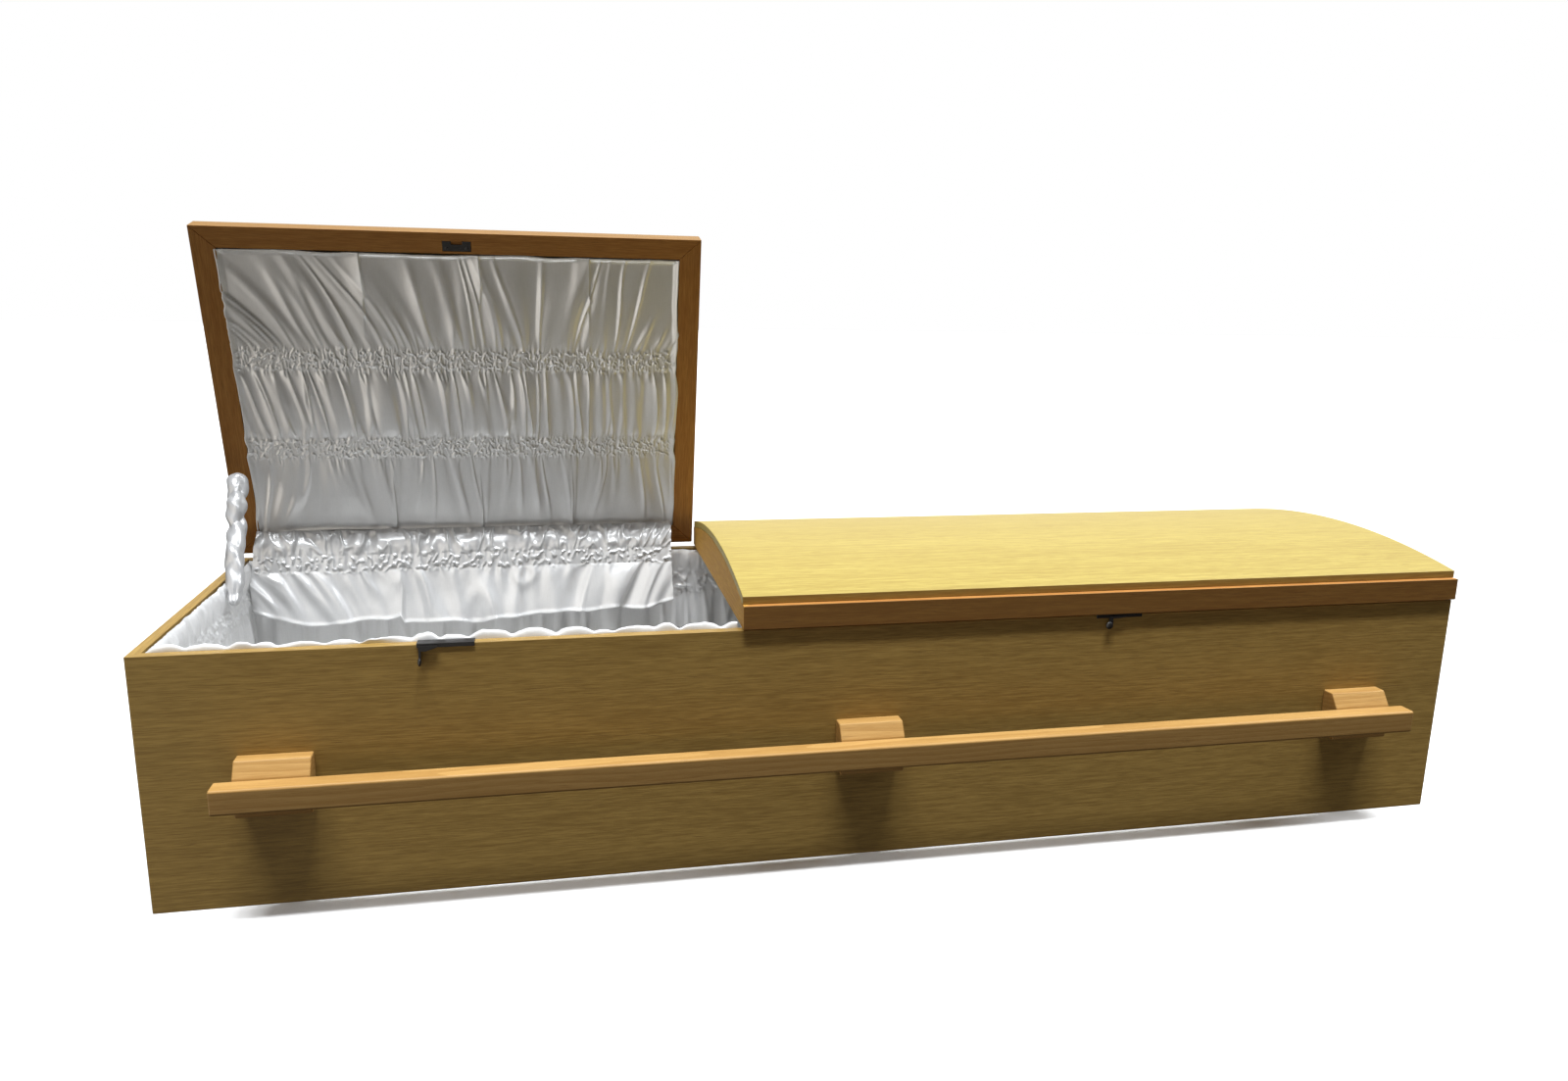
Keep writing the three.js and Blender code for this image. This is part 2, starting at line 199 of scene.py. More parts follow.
def oak(name, light, dark, pore_colour, rings=0.0, gloss=0.06, roughness=0.46, shine=0.35):
    """Lacquered oak that reads the grain attribute: along, across and through the board."""
    material, nodes = new_finish(name)
    grain = nodes.attribute("grain")
    fibre = nodes.noise(grain, FIBRE_SCALE, 3.0, 0.6)
    streak = nodes.noise(grain, STREAK_SCALE, 4.0, 0.6)
    drift = nodes.noise(grain, DRIFT_SCALE, distortion=0.2)
    pore = nodes.noise(grain, PORE_SCALE, 1.0)
    pores = nodes.stepped(pore, 0.60, 0.72) * nodes.stepped(streak, 0.38, 0.62)
    tone = fibre * 0.46 + streak * 0.44 + drift * 0.10
    if rings:
        wander = nodes.noise(grain, RING_WANDER_SCALE)
        across = nodes.node("ShaderNodeSeparateXYZ", {0: grain}, out=1)
        through = nodes.node("ShaderNodeSeparateXYZ", {0: grain}, out=2)
        reach = (across ** 2.0 + through ** 2.0) ** 0.5
        turns = reach * rings + wander * 5.0
        ring = nodes.node("ShaderNodeMath", {0: turns}, operation="FRACT")
        tone = tone * 0.80 + ring * 0.20
    level = nodes.stepped(tone, 0.36, 0.64)
    body = nodes.mixed(level, rgb(*dark), rgb(*light))
    colour = nodes.mixed(pores * 0.70, body, rgb(*pore_colour))
    height = fibre * 0.6 + streak * 0.4 - pores * 0.9
    close_finish(nodes, {
        "Base Color": colour,
        "Roughness": roughness + pores * 0.2 + (fibre - 0.5) * 0.16,
        "Normal": nodes.bump(height, 0.35, OAK_RELIEF),
        "Specular IOR Level": shine,
        "Coat Weight": gloss,
        "Coat Roughness": 0.22,
    })
    return material


def satin_finish(name, colour, shade):
    """White satin: smooth warp floats with a faint slub, softer in the shade of a fold."""
    material, nodes = new_finish(name)
    cloth = nodes.attribute("cloth")
    slub = nodes.noise(cloth, SLUB_SCALE)
    weft = nodes.noise(cloth, WEFT_SCALE, 1.0)
    pucker = nodes.noise(cloth, PUCKER_SCALE, 3.0)
    threads = slub * 0.5 + weft * 0.5
    body = nodes.mixed(nodes.stepped(threads, 0.25, 0.75), rgb(*shade), rgb(*colour))
    close_finish(nodes, {
        "Base Color": body,
        "Roughness": 0.30 + (threads - 0.5) * 0.14,
        "Normal": nodes.bump(pucker * 0.8 + threads * 0.04, 0.5, SATIN_RELIEF),
        "IOR": 1.72,
        "Specular IOR Level": 1.0,
        "Coat Weight": 0.4,
        "Coat Roughness": 0.20,
        "Sheen Weight": 0.1,
        "Sheen Roughness": 0.35,
    })
    return material


def thread_finish(name):
    material, nodes = new_finish(name)
    place = nodes.node("ShaderNodeTexCoord", out=3)
    twist = nodes.noise(place, TWIST_SCALE, 1.0)
    close_finish(nodes, {
        "Base Color": nodes.mixed(twist, rgb(0.60, 0.59, 0.58), rgb(0.82, 0.81, 0.80)),
        "Roughness": 0.55 + twist * 0.1,
    })
    return material


def black_metal_finish(name):
    """Black lacquered steel with a few worn, paler specks."""
    material, nodes = new_finish(name)
    place = nodes.node("ShaderNodeTexCoord", out=3)
    orange_peel = nodes.noise(place, PEEL_SCALE)
    wear = nodes.noise(place, WEAR_SCALE, 4.0, 0.65)
    worn = nodes.stepped(wear, 0.66, 0.80)
    close_finish(nodes, {
        "Base Color": nodes.mixed(worn * 0.5, rgb(0.008, 0.007, 0.007), rgb(0.11, 0.10, 0.09)),
        "Metallic": worn * 0.6,
        "Roughness": 0.36 + orange_peel * 0.16,
        "Normal": nodes.bump(orange_peel, 0.25, PEEL_RELIEF),
    })
    return material


OAK_VENEER = oak(
    "oak_veneer", (0.40, 0.256, 0.071), (0.245, 0.147, 0.037), (0.12, 0.065, 0.02), shine=0.25,
)
# Lid tops: the box's oak veneer painted lighter and yellower, as painted light for the strong overhead
# light on the tops
OAK_LID_PAINTED_LIGHT = oak("oak_lid_veneer_painted_light", (0.47, 0.370, 0.095), (0.33, 0.236, 0.050), (0.19, 0.11, 0.02))
OAK_LIPPING = oak("oak_lipping", (0.365, 0.236, 0.056), (0.275, 0.160, 0.033), (0.14, 0.07, 0.014))
# Lid edges: one oak, painted lighter on the head lid, whose front edge faces up when it is open (painted
# light), and darker on the foot lid, whose edge stands in shade (painted shade)
OAK_HEAD_EDGE_PAINTED_LIGHT = oak("oak_head_lid_edge_painted_light", (0.34, 0.180, 0.043), (0.25, 0.120, 0.025), (0.12, 0.05, 0.01))
OAK_FOOT_EDGE_PAINTED_SHADE = oak("oak_foot_lid_edge_painted_shade", (0.235, 0.115, 0.025), (0.175, 0.077, 0.016), (0.09, 0.035, 0.008))
OAK_FRAME = oak(
    "oak_lid_frame", (0.50, 0.240, 0.063), (0.345, 0.142, 0.032), (0.14, 0.06, 0.014),
    gloss=0.02, roughness=0.56, shine=0.2,
)
OAK_ARCH = oak(
    "oak_arch", (0.56, 0.318, 0.066), (0.43, 0.215, 0.040), (0.18, 0.08, 0.01),
    gloss=0.02, roughness=0.60, shine=0.15,
)
OAK_SOLID = oak(
    "oak_solid", (0.48, 0.283, 0.093), (0.38, 0.208, 0.060), (0.22, 0.11, 0.03),
    rings=120.0, gloss=0.05, shine=0.2,
)
# Upright faces of the hand rails: the rail oak painted darker, as painted shade where the overhead light
# only grazes them
OAK_RAIL_FACE_PAINTED_SHADE = oak(
    "oak_rail_face_painted_shade", (0.355, 0.209, 0.069), (0.28, 0.154, 0.044), (0.16, 0.08, 0.02),
    rings=120.0, gloss=0.05, shine=0.2,
)
SATIN = satin_finish("satin", (0.80, 0.80, 0.80), (0.73, 0.73, 0.73))
# Lid lining satin: the white satin painted lighter, as painted light on a lining that faces away from the
# lamps
LID_SATIN_PAINTED_LIGHT = satin_finish("lid_satin_painted_light", (0.85, 0.85, 0.85), (0.78, 0.78, 0.78))
# Apron satin: the white satin painted darker, as painted shade against the strong direct light on the apron
APRON_SATIN_PAINTED_SHADE = satin_finish("apron_satin_painted_shade", (0.64, 0.64, 0.64), (0.59, 0.59, 0.59))
# Stay satin: the white satin painted much darker, as painted shade so its creases show under the overhead
# light
STAY_SATIN_PAINTED_SHADE = satin_finish("stay_satin_painted_shade", (0.47, 0.47, 0.475), (0.40, 0.40, 0.405))
# Floor lining satin: the white satin painted darker, as painted shade so its creases show under the
# overhead light
FLOOR_SATIN_PAINTED_SHADE = satin_finish("floor_satin_painted_shade", (0.56, 0.555, 0.54), (0.50, 0.495, 0.48))
THREAD = thread_finish("satin_thread")
BLACK_METAL = black_metal_finish("black_metal")


# Meshes

def new_mesh(name, points, edges=(), faces=()):
    mesh = bpy.data.meshes.new(name)
    mesh.from_pydata(points, edges, faces)
    return mesh


def new_object(name, mesh, material):
    mesh.materials.clear()
    mesh.materials.append(material)
    piece = bpy.data.objects.new(name, mesh)
    bpy.context.scene.collection.objects.link(piece)
    return piece


def settled(piece, material):
    """The piece with its modifiers worked into a plain mesh."""
    bpy.context.view_layer.update()
    graph = bpy.context.evaluated_depsgraph_get()
    mesh = bpy.data.meshes.new_from_object(piece.evaluated_get(graph))
    name = piece.name
    old = piece.data
    bpy.data.objects.remove(piece)
    bpy.data.meshes.remove(old)
    mesh.name = name
    return new_object(name, mesh, material)


def about_hinge(points, turn):
    """Points turned about the hinge pins."""
    cosine = math.cos(turn)
    sine = math.sin(turn)
    y = points[..., 1] - HINGE_Y
    z = points[..., 2] - HINGE_Z
    out = points.copy()
    out[..., 1] = HINGE_Y + y * cosine - z * sine
    out[..., 2] = HINGE_Z + y * sine + z * cosine
    return out


def open_place(points):
    """Points on the closed head lid, where they lie when it is open."""
    return about_hinge(points, OPEN_TURN)


def mesh_points(mesh):
    flat = np.empty(len(mesh.vertices) * 3)
    mesh.vertices.foreach_get("co", flat)
    return flat.reshape(-1, 3)


def set_vectors(mesh, name, vectors):
    layer = mesh.attributes.new(name, "FLOAT_VECTOR", "POINT")
    layer.data.foreach_set("vector", np.ascontiguousarray(vectors, dtype=np.float32).ravel())


WELD = 2e-6


def weld(source, target, dissolve=False, recalculate=False):
    """Joins the loose faces of the source mesh and puts them in the target mesh."""
    shape = bmesh.new()
    shape.from_mesh(source)
    bmesh.ops.remove_doubles(shape, verts=shape.verts, dist=WELD)
    if dissolve:
        bmesh.ops.dissolve_limit(
            shape, angle_limit=math.radians(0.2), verts=shape.verts, edges=shape.edges,
        )
    if recalculate:
        bmesh.ops.recalc_face_normals(shape, faces=shape.faces)
    shape.to_mesh(target)
    shape.free()
    target.shade_smooth()


def ease_edges(piece, width, segments, sharper_than):
    """A bevel on the edges that are sharper than an angle in degrees."""
    bevel = piece.modifiers.new("eased edges", "BEVEL")
    bevel.width = width
    bevel.segments = segments
    bevel.limit_method = "ANGLE"
    bevel.angle_limit = math.radians(sharper_than)
    return bevel


def eased(node, name, material, width, segments=2):
    """A finished copy of a CAD node: flat faces made whole and sharp edges eased."""
    mesh = bpy.data.meshes.new(node + "_shape")
    weld(frame["nodes"][node].data, mesh, dissolve=True)
    for layer in ("custom_normal", "sharp_face", "sharp_edge"):
        if layer in mesh.attributes:
            mesh.attributes.remove(mesh.attributes[layer])
    piece = new_object(name, mesh, material)
    bevel = ease_edges(piece, width, segments, 28)
    bevel.harden_normals = True
    return settled(piece, material)


def set_grain(piece, lengthwise, rng, on_head_lid, pith=(0.0, 0.0)):
    """Grain coordinates of a board, started at a place of its own."""
    points = mesh_points(piece.data)
    if on_head_lid:
        points = about_hinge(points, -OPEN_TURN)
    along = points[:, 0] if lengthwise else points[:, 1]
    across = points[:, 1] if lengthwise else points[:, 0]
    through = points[:, 2]
    start = rng.uniform(-20, 20)
    shift = rng.uniform(-3, 3) if pith == (0.0, 0.0) else 0.0
    grain = np.stack([along + start, across - pith[0] + shift, through - pith[1] + shift], axis=1)
    set_vectors(piece.data, "grain", grain)


def add_piece(piece, node):
    """The piece takes the place of a CAD node, on the node's own body."""
    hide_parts(node)
    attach(piece, BODY_OF[node])


# Boards, rails and blocks

def add_lipping_or_painted_light(board, material, facing):
    """Another finish on the faces of a board that look along facing, or away from it: a real lipping on the
    lid tops, and painted light or painted shade on the lid edges and rail faces.
    """
    board.data.materials.append(material)
    facing = Vector(facing)
    for face in board.data.polygons:
        if abs(face.normal.dot(facing)) > 0.9:
            face.material_index = 1


EDGE_EASE = 0.0009
wood_rng = np.random.default_rng(41)
BOX_BOARDS = ("front_side", "back_side", "head_end", "foot_end", "floor_board")
BOARDS = {node: OAK_VENEER for node in BOX_BOARDS}
for lid_name in ("head_lid", "foot_lid"):
    # The lid tops take the lighter copy of the veneer: painted light
    BOARDS[lid_name + "_top"] = OAK_LID_PAINTED_LIGHT
    for board_name in ("_front_rail", "_back_rail", "_head_board", "_foot_board"):
        BOARDS[lid_name + board_name] = OAK_FRAME
BOARDS["foot_lid_head_board"] = OAK_ARCH
CROSSWISE = ("_end", "_head_board", "_foot_board")
for node, material in BOARDS.items():
    lengthwise = not node.endswith(CROSSWISE)
    on_head_lid = BODY_OF[node] == "head_lid"
    board = eased(node, node + "_oak", material, EDGE_EASE)
    set_grain(board, lengthwise, wood_rng, on_head_lid)
    outward = Vector((0, 1, 0))
    if on_head_lid:
        outward = Matrix.Rotation(OPEN_TURN, 3, "X") @ outward
    # Edge faces of the lid rails and end boards: painted light on the open head lid, painted shade on the
    # foot lid
    lid_edge = OAK_HEAD_EDGE_PAINTED_LIGHT if on_head_lid else OAK_FOOT_EDGE_PAINTED_SHADE
    if node.endswith("_lid_top"):
        add_lipping_or_painted_light(board, OAK_LIPPING, outward)
    if node.endswith(("_lid_front_rail", "_lid_back_rail")):
        add_lipping_or_painted_light(board, lid_edge, outward)
    if node in ("head_lid_head_board", "foot_lid_foot_board"):
        add_lipping_or_painted_light(board, lid_edge, (1, 0, 0))
    add_piece(board, node)


def new_tree(name, numbers, on_mesh=True):
    """A Geometry Nodes tree with named inputs: its nodes, what each input gives, and their keys."""
    tree = bpy.data.node_groups.new(name, "GeometryNodeTree")
    nodes = Nodes(tree)
    kinds = {"Geometry": "NodeSocketGeometry"} if on_mesh else {}
    kinds.update({key: "NodeSocketFloat" for key in numbers})
    kinds["Finish"] = "NodeSocketMaterial"
    keys = {}
    for key, kind in kinds.items():
        socket = tree.interface.new_socket(key, in_out="INPUT", socket_type=kind)
        if key in numbers:
            socket.default_value = numbers[key]
        keys[key] = socket.identifier
    tree.interface.new_socket("Geometry", in_out="OUTPUT", socket_type="NodeSocketGeometry")
    group = tree.nodes.new("NodeGroupInput")
    given = {key: Wire(nodes, group.outputs[key]) for key in kinds}
    return nodes, given, keys


def close_tree(nodes, given, geometry):
    """The end of a tree: its instances are made real and get the finish."""
    real = nodes.node("GeometryNodeRealizeInstances", {"Geometry": geometry})
    done = nodes.node("GeometryNodeSetMaterial", {
        "Geometry": real, "Material": given["Finish"],
    })
    nodes.node("NodeGroupOutput", {0: done})
    return nodes.tree


def rail_tree():
    """A hand rail: a rounded section run along a straight line."""
    sizes = {"Length": 1.84, "Depth": 0.031, "Height": 0.0365, "Round": 0.004}
    nodes, given, keys = new_tree("hand_rail", sizes, on_mesh=False)
    half = given["Length"] * 0.5
    start = nodes.node("ShaderNodeCombineXYZ", {"X": 0.0 - half})
    end = nodes.node("ShaderNodeCombineXYZ", {"X": half})
    line = nodes.node("GeometryNodeCurvePrimitiveLine", {"Start": start, "End": end})
    line = nodes.node("GeometryNodeResampleCurve", {"Curve": line, "Count": 24})
    section = nodes.node("GeometryNodeCurvePrimitiveQuadrilateral", {
        "Width": given["Depth"], "Height": given["Height"],
    })
    section = nodes.node("GeometryNodeFilletCurve", {
        "Curve": section, "Count": 4, "Radius": given["Round"],
    }, mode="POLY")
    swept = nodes.node("GeometryNodeCurveToMesh", {
        "Curve": line, "Profile Curve": section, "Fill Caps": True,
    })
    return close_tree(nodes, given, swept), keys


def grown(name, mesh, recipe, material, **numbers):
    """A mesh run through a Geometry Nodes tree and made plain again."""
    tree, keys = recipe
    piece = new_object(name, mesh, material)
    modifier = piece.modifiers.new(tree.name, "NODES")
    modifier.node_group = tree
    modifier[keys["Finish"]] = material
    for key, value in numbers.items():
        modifier[keys[key]] = value
    return settled(piece, material)


RAIL_RECIPE = rail_tree()
RAIL_END_EASE = 0.0025
RAIL_PITH = (0.012, -0.055)
BLOCK_EASE = 0.0022
BLOCK_PITH_DOWN = 0.07
for side in ("front", "back"):
    node = side + "_hand_rail"
    low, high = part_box(node)
    size = high - low
    middle = (low + high) / 2
    rail_seed = new_mesh(node + "_line", [(0, 0, 0)])
    rail = grown(node + "_oak", rail_seed, RAIL_RECIPE, OAK_SOLID,
                 Length=size.x, Depth=size.y, Height=size.z)
    weld(rail.data, rail.data, recalculate=True)
    rail.data.transform(Matrix.Translation(middle))
    ease_edges(rail, RAIL_END_EASE, 3, 50)
    flat_faces = rail.modifiers.new("flat faces", "WEIGHTED_NORMAL")
    flat_faces.mode = "FACE_AREA"
    flat_faces.weight = 100
    rail = settled(rail, OAK_SOLID)
    # Painted shade on the rail's upright faces
    add_lipping_or_painted_light(rail, OAK_RAIL_FACE_PAINTED_SHADE, (0, 1, 0))
    set_grain(rail, True, wood_rng, False, (middle.y + RAIL_PITH[0], middle.z + RAIL_PITH[1]))
    add_piece(rail, node)
    for place in ("head", "middle", "foot"):
        node = f"{side}_rail_block_{place}"
        low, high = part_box(node)
        block = eased(node, node + "_oak", OAK_SOLID, BLOCK_EASE, 3)
        away = wood_rng.uniform(-0.03, 0.03)
        pith = ((low.y + high.y) / 2 + away, low.z - BLOCK_PITH_DOWN)
        set_grain(block, True, wood_rng, False, pith)
        add_piece(block, node)


# Black fittings

FITTINGS = [name for name, slot in SLOT_OF.items() if slot == "black_metal"]
FITTING_EASE = 0.0004
for node in FITTINGS:
    fitting = eased(node, node + "_black", BLACK_METAL, FITTING_EASE)
    add_piece(fitting, node)


def screw_tree():
    """A slotted countersunk head on every point, set to the point's facing."""
    sizes = {"Radius": 0.003, "Proud": 0.0006}
    nodes, given, keys = new_tree("screw_heads", sizes)
    radius = given["Radius"]
    proud = given["Proud"]
    head = nodes.node("GeometryNodeMeshCone", {
        "Vertices": 16, "Radius Top": radius * 0.72, "Radius Bottom": radius, "Depth": proud,
    })
    slot_size = nodes.node("ShaderNodeCombineXYZ", {
        "X": radius * 3.0, "Y": radius * 0.26, "Z": proud,
    })
    slot = nodes.node("GeometryNodeMeshCube", {"Size": slot_size})
    slot_lift = nodes.node("ShaderNodeCombineXYZ", {"Z": proud * 0.9})
    slot = nodes.node("GeometryNodeTransform", {"Geometry": slot, "Translation": slot_lift})
    parts = {"Mesh 1": head, "Mesh 2": slot}
    head = nodes.node("GeometryNodeMeshBoolean", parts, operation="DIFFERENCE")
    named = {"Name": "facing"}
    facing = nodes.node("GeometryNodeInputNamedAttribute", named, data_type="FLOAT_VECTOR")
    turn = nodes.node("FunctionNodeAlignRotationToVector", {"Vector": facing}, axis="Z")
    chance = {"Max": math.pi, "Seed": 5}
    spin = nodes.node("FunctionNodeRandomValue", chance, out=1, data_type="FLOAT")
    spin = nodes.node("ShaderNodeCombineXYZ", {"Z": spin})
    spin = nodes.node("FunctionNodeEulerToRotation", {"Euler": spin})
    turn = nodes.node("FunctionNodeRotateRotation", {
        "Rotation": turn, "Rotate By": spin,
    }, rotation_space="LOCAL")
    heads = nodes.node("GeometryNodeInstanceOnPoints", {
        "Points": given["Geometry"], "Instance": head, "Rotation": turn,
    })
    return close_tree(nodes, given, heads), keys


SCREW_RECIPE = screw_tree()
SCREW_SINK = 0.00025
LEAF_SCREW_STEP = 0.024
BOX_LEAF_SCREWS = (0.2919 + SCREW_SINK, 0.356)
LID_LEAF_SCREWS = (0.2939 + SCREW_SINK, 0.396)
KEEPER_SCREW_STEP = 0.0165
KEEPER_SCREWS = (-0.2693, LID_FACE - SCREW_SINK)
screw_places = {"box": [], "head_lid": [], "foot_lid": []}
for node in FITTINGS:
    points = mesh_points(frame["nodes"][node].data)
    middle_x = (points[:, 0].min() + points[:, 0].max()) / 2
    if node.endswith("_leaf"):
        out, height = BOX_LEAF_SCREWS if node.endswith("_box_leaf") else LID_LEAF_SCREWS
        for step in (-1, 0, 1):
            place = (middle_x + step * LEAF_SCREW_STEP, out, height)
            screw_places[BODY_OF[node]].append((place, (0.0, 1.0, 0.0)))
    elif node.endswith("_keeper"):
        for step in (-1, 1):
            place = (middle_x + step * KEEPER_SCREW_STEP, *KEEPER_SCREWS)
            screw_places[BODY_OF[node]].append((place, (0.0, 0.0, -1.0)))
for body, rows in screw_places.items():
    places = np.array([place for place, _ in rows])
    facings = np.array([facing for _, facing in rows])
    if body == "head_lid":
        tips = open_place(places + facings)
        places = open_place(places)
        facings = tips - places
    screw_seed = new_mesh(body + "_screw_places", places.tolist())
    set_vectors(screw_seed, "facing", facings)
    screws = grown(body + "_screws", screw_seed, SCREW_RECIPE, BLACK_METAL)
    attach(screws, body)


# Gathered satin: folds are noise smoothed along each row of the cloth, finely where a row of
# stitches holds the cloth and ever more broadly away from it, so that small folds run together

SPREAD_HELD = 0.0030
HEIGHT_HELD = 0.0030
FOLD_WAVE = 0.61
FOLD_TRADE = 0.90
WAVE_SOFT = 0.45
RIDGE_WIDTH = 0.42
MARGIN = 0.22
PLEAT_PULL = 0.60
PLEAT_RISE = 0.032
PLEAT_FALL = 0.0016


def smoothed_rows(noise, spread):
    """Each row smoothed over its own spread, counted in columns, and brought to one strength."""
    waves = np.fft.rfftfreq(noise.shape[1])
    gain = np.exp(-2 * (np.pi * waves * spread[:, None]) ** 2)
    rows = np.fft.irfft(np.fft.rfft(noise, axis=1) * gain, n=noise.shape[1], axis=1)
    return rows / rows.std(axis=1, keepdims=True)


def smooth_line(rng, count, spread):
    """One line of smooth noise of strength 1, spread counted in steps."""
    noise = rng.standard_normal((1, count + 8 * int(spread + 1)))
    return smoothed_rows(noise, np.array([float(spread)]))[0, :count]


def ramp(value, low, high):
    share = np.clip((value - low) / (high - low), 0, 1)
    return share * share * (3 - 2 * share)


def overlap(back, rise, fall):
    """A ridge that rises slowly before a pleat's edge and falls away sharply behind it."""
    return np.where(back < 0, np.clip(1 + back / rise, 0, 1) ** 2, np.exp(-back / fall))


def turning_noise(rng, turn, columns, spread):
    """Smooth rows that change from one random line to another as turn goes on."""
    first = np.cos(turn)[:, None] * rng.standard_normal(columns)
    second = np.sin(turn)[:, None] * rng.standard_normal(columns)
    return smoothed_rows(first + second, np.full(len(turn), spread))


def drawn_to(xs, pleats, pull):
    """Where a fold that has reached xs set out, when folds run together towards the pleats."""
    share = np.linspace(0, 1, 49)
    close = ramp(ramp(share, 0, 1), 0, 1)
    reached = []
    set_out = []
    for left, right in zip(pleats[:-1], pleats[1:]):
        reached.extend(left + (right - left) * ((1 - pull) * share + pull * close))
        set_out.extend(left + (right - left) * share)
    reached = np.maximum.accumulate(np.array(reached))
    inner = np.interp(xs, reached, set_out)
    return np.where((xs < pleats[0]) | (xs > pleats[-1]), xs, inner)


class Stretch:
    """A stretch of cloth from one row to another, counted in metres down the cloth."""

    fields = ("start", "end", "step")

    def __init__(self, *values, **choices):
        vars(self).update(zip(self.fields, values), **choices)

    def rows(self):
        count = max(2, round((self.end - self.start) / self.step))
        return self.start + (self.end - self.start) * (np.arange(count) + 0.5) / count


class Folds(Stretch):
    """How one stretch of gathered cloth folds between its held rows."""

    fields = Stretch.fields + ("held", "spread", "height", "reach", "pleats", "pleat_height")
    pleats = ()
    pleat_height = 0.0
    lean = (0.0, 0.0)
    edge_height = 1.0
    wander = 0.26
    pinch = 0.40
    pinch_spread = 0.90

    def heights(self, rng, xs):
        rows = self.rows()
        step = xs[1] - xs[0]
        margin = int(MARGIN / step)
        wide = len(xs) + 2 * margin
        wide_xs = xs[0] + (np.arange(wide) - margin) * step
        ridge_noise = rng.standard_normal((2, wide))
        puff_noise = rng.standard_normal((2, wide))
        share = (rows - self.start) / (self.end - self.start)
        turn = math.pi * (0.12 + self.wander * share)
        mix = np.stack([np.cos(turn), np.sin(turn)], axis=1)
        near = np.full(len(rows), 9.0)
        if "start" in self.held:
            near = np.minimum(near, rows - self.start)
        if "end" in self.held:
            near = np.minimum(near, self.end - rows)
        grow = 1 - np.exp(-near / self.reach)
        spread = SPREAD_HELD + (self.spread - SPREAD_HELD) * grow
        ridge_field = smoothed_rows(mix @ ridge_noise, spread / step)
        puff_field = smoothed_rows(mix @ puff_noise, self.pinch_spread * spread / step)
        free = 1 - share if self.held == "end" else share
        lean = np.interp(xs, (xs[0], xs[-1]), self.lean)
        ridges = np.empty((len(rows), len(xs)))
        puffs = np.empty((len(rows), len(xs)))
        for index, row in enumerate(rows):
            source = xs - lean * (row - self.start)
            if len(self.pleats):
                source = drawn_to(source, self.pleats, PLEAT_PULL * ramp(free[index], 0, 1))
            ridges[index] = np.interp(source, wide_xs, ridge_field[index])
            puffs[index] = np.interp(source, wide_xs, puff_field[index])
        lift = HEIGHT_HELD * (1 - 0.5 * np.exp(-near / 0.006))
        lift = lift + (self.height - HEIGHT_HELD) * grow
        if self.held in ("start", "end"):
            lift = lift * (1 - (1 - self.edge_height) * ramp(free, 0.45, 1))
        wave = FOLD_WAVE - FOLD_TRADE * self.pinch
        shape = wave * (1.3 + ridges / np.sqrt(1 + WAVE_SOFT * ridges ** 2))
        shape = shape + self.pinch * np.exp(-(puffs / RIDGE_WIDTH) ** 2)
        heights = lift[:, None] * shape
        for pleat in self.pleats[1:-1]:
            back = xs - pleat
            ridge = overlap(back, PLEAT_RISE, PLEAT_FALL)
            heights = heights + self.pleat_height * ramp(free, 0.05, 0.7)[:, None] * ridge
        return heights


BAND_RUN_OUT = 0.012
CRINKLE_STEP = 0.0012
CRINKLE_LENGTH = 1.8
CURL_WIDTH = 0.48
THREAD_WANDER = 0.30


class Shirring(Stretch):
    """A band of gathering stitches: small crinkles between lines of thread."""

    fields = Stretch.fields + ("lines", "height", "spread")
    height = 0.0030
    spread = 0.0017

    def crinkles(self, rng, xs, rows):
        step = xs[1] - xs[0]
        first = self.start - BAND_RUN_OUT
        count = round((self.end - self.start + 2 * BAND_RUN_OUT) / CRINKLE_STEP)
        noise = rng.standard_normal((count, len(xs)))
        noise = smoothed_rows(noise, np.full(count, self.spread / step))
        noise = smoothed_rows(noise.T, np.full(len(xs), CRINKLE_LENGTH * self.spread / CRINKLE_STEP)).T
        place = np.clip((rows - first) / CRINKLE_STEP, 0, count - 1.001)
        low = place.astype(int)
        between = (place - low)[:, None]
        field = noise[low] * (1 - between) + noise[low + 1] * between
        wander = THREAD_WANDER * smooth_line(rng, len(xs), 0.006 / step)
        share = (rows - self.start)[:, None] / (self.end - self.start)
        share = share * self.lines + wander[None, :]
        rise = 0.40 + 0.60 * np.abs(np.sin(math.pi * share))
        inside = ramp(rows, self.start - 0.010, self.start + 0.005)
        inside = inside * (1 - ramp(rows, self.end - 0.005, self.end + 0.010))
        return self.height * inside[:, None] * rise * np.exp(-(field / CURL_WIDTH) ** 2)


def gathered(rng, xs, stretches):
    """Rows, folds and crinkles of a whole sheet. Folds run on through the bands between them."""
    rows = [stretch.rows() for stretch in stretches]
    heights = [None] * len(stretches)
    for index, stretch in enumerate(stretches):
        if isinstance(stretch, Folds):
            heights[index] = stretch.heights(rng, xs)
    for index, stretch in enumerate(stretches):
        if isinstance(stretch, Shirring):
            share = ramp(rows[index], stretch.start, stretch.end)[:, None]
            heights[index] = heights[index - 1][-1] * (1 - share) + heights[index + 1][0] * share
    rows = np.concatenate(rows)
    heights = np.concatenate(heights)
    crinkles = np.zeros(heights.shape)
    for stretch in stretches:
        if isinstance(stretch, Shirring):
            crinkles = crinkles + stretch.crinkles(rng, xs, rows)
    return rows, heights, crinkles


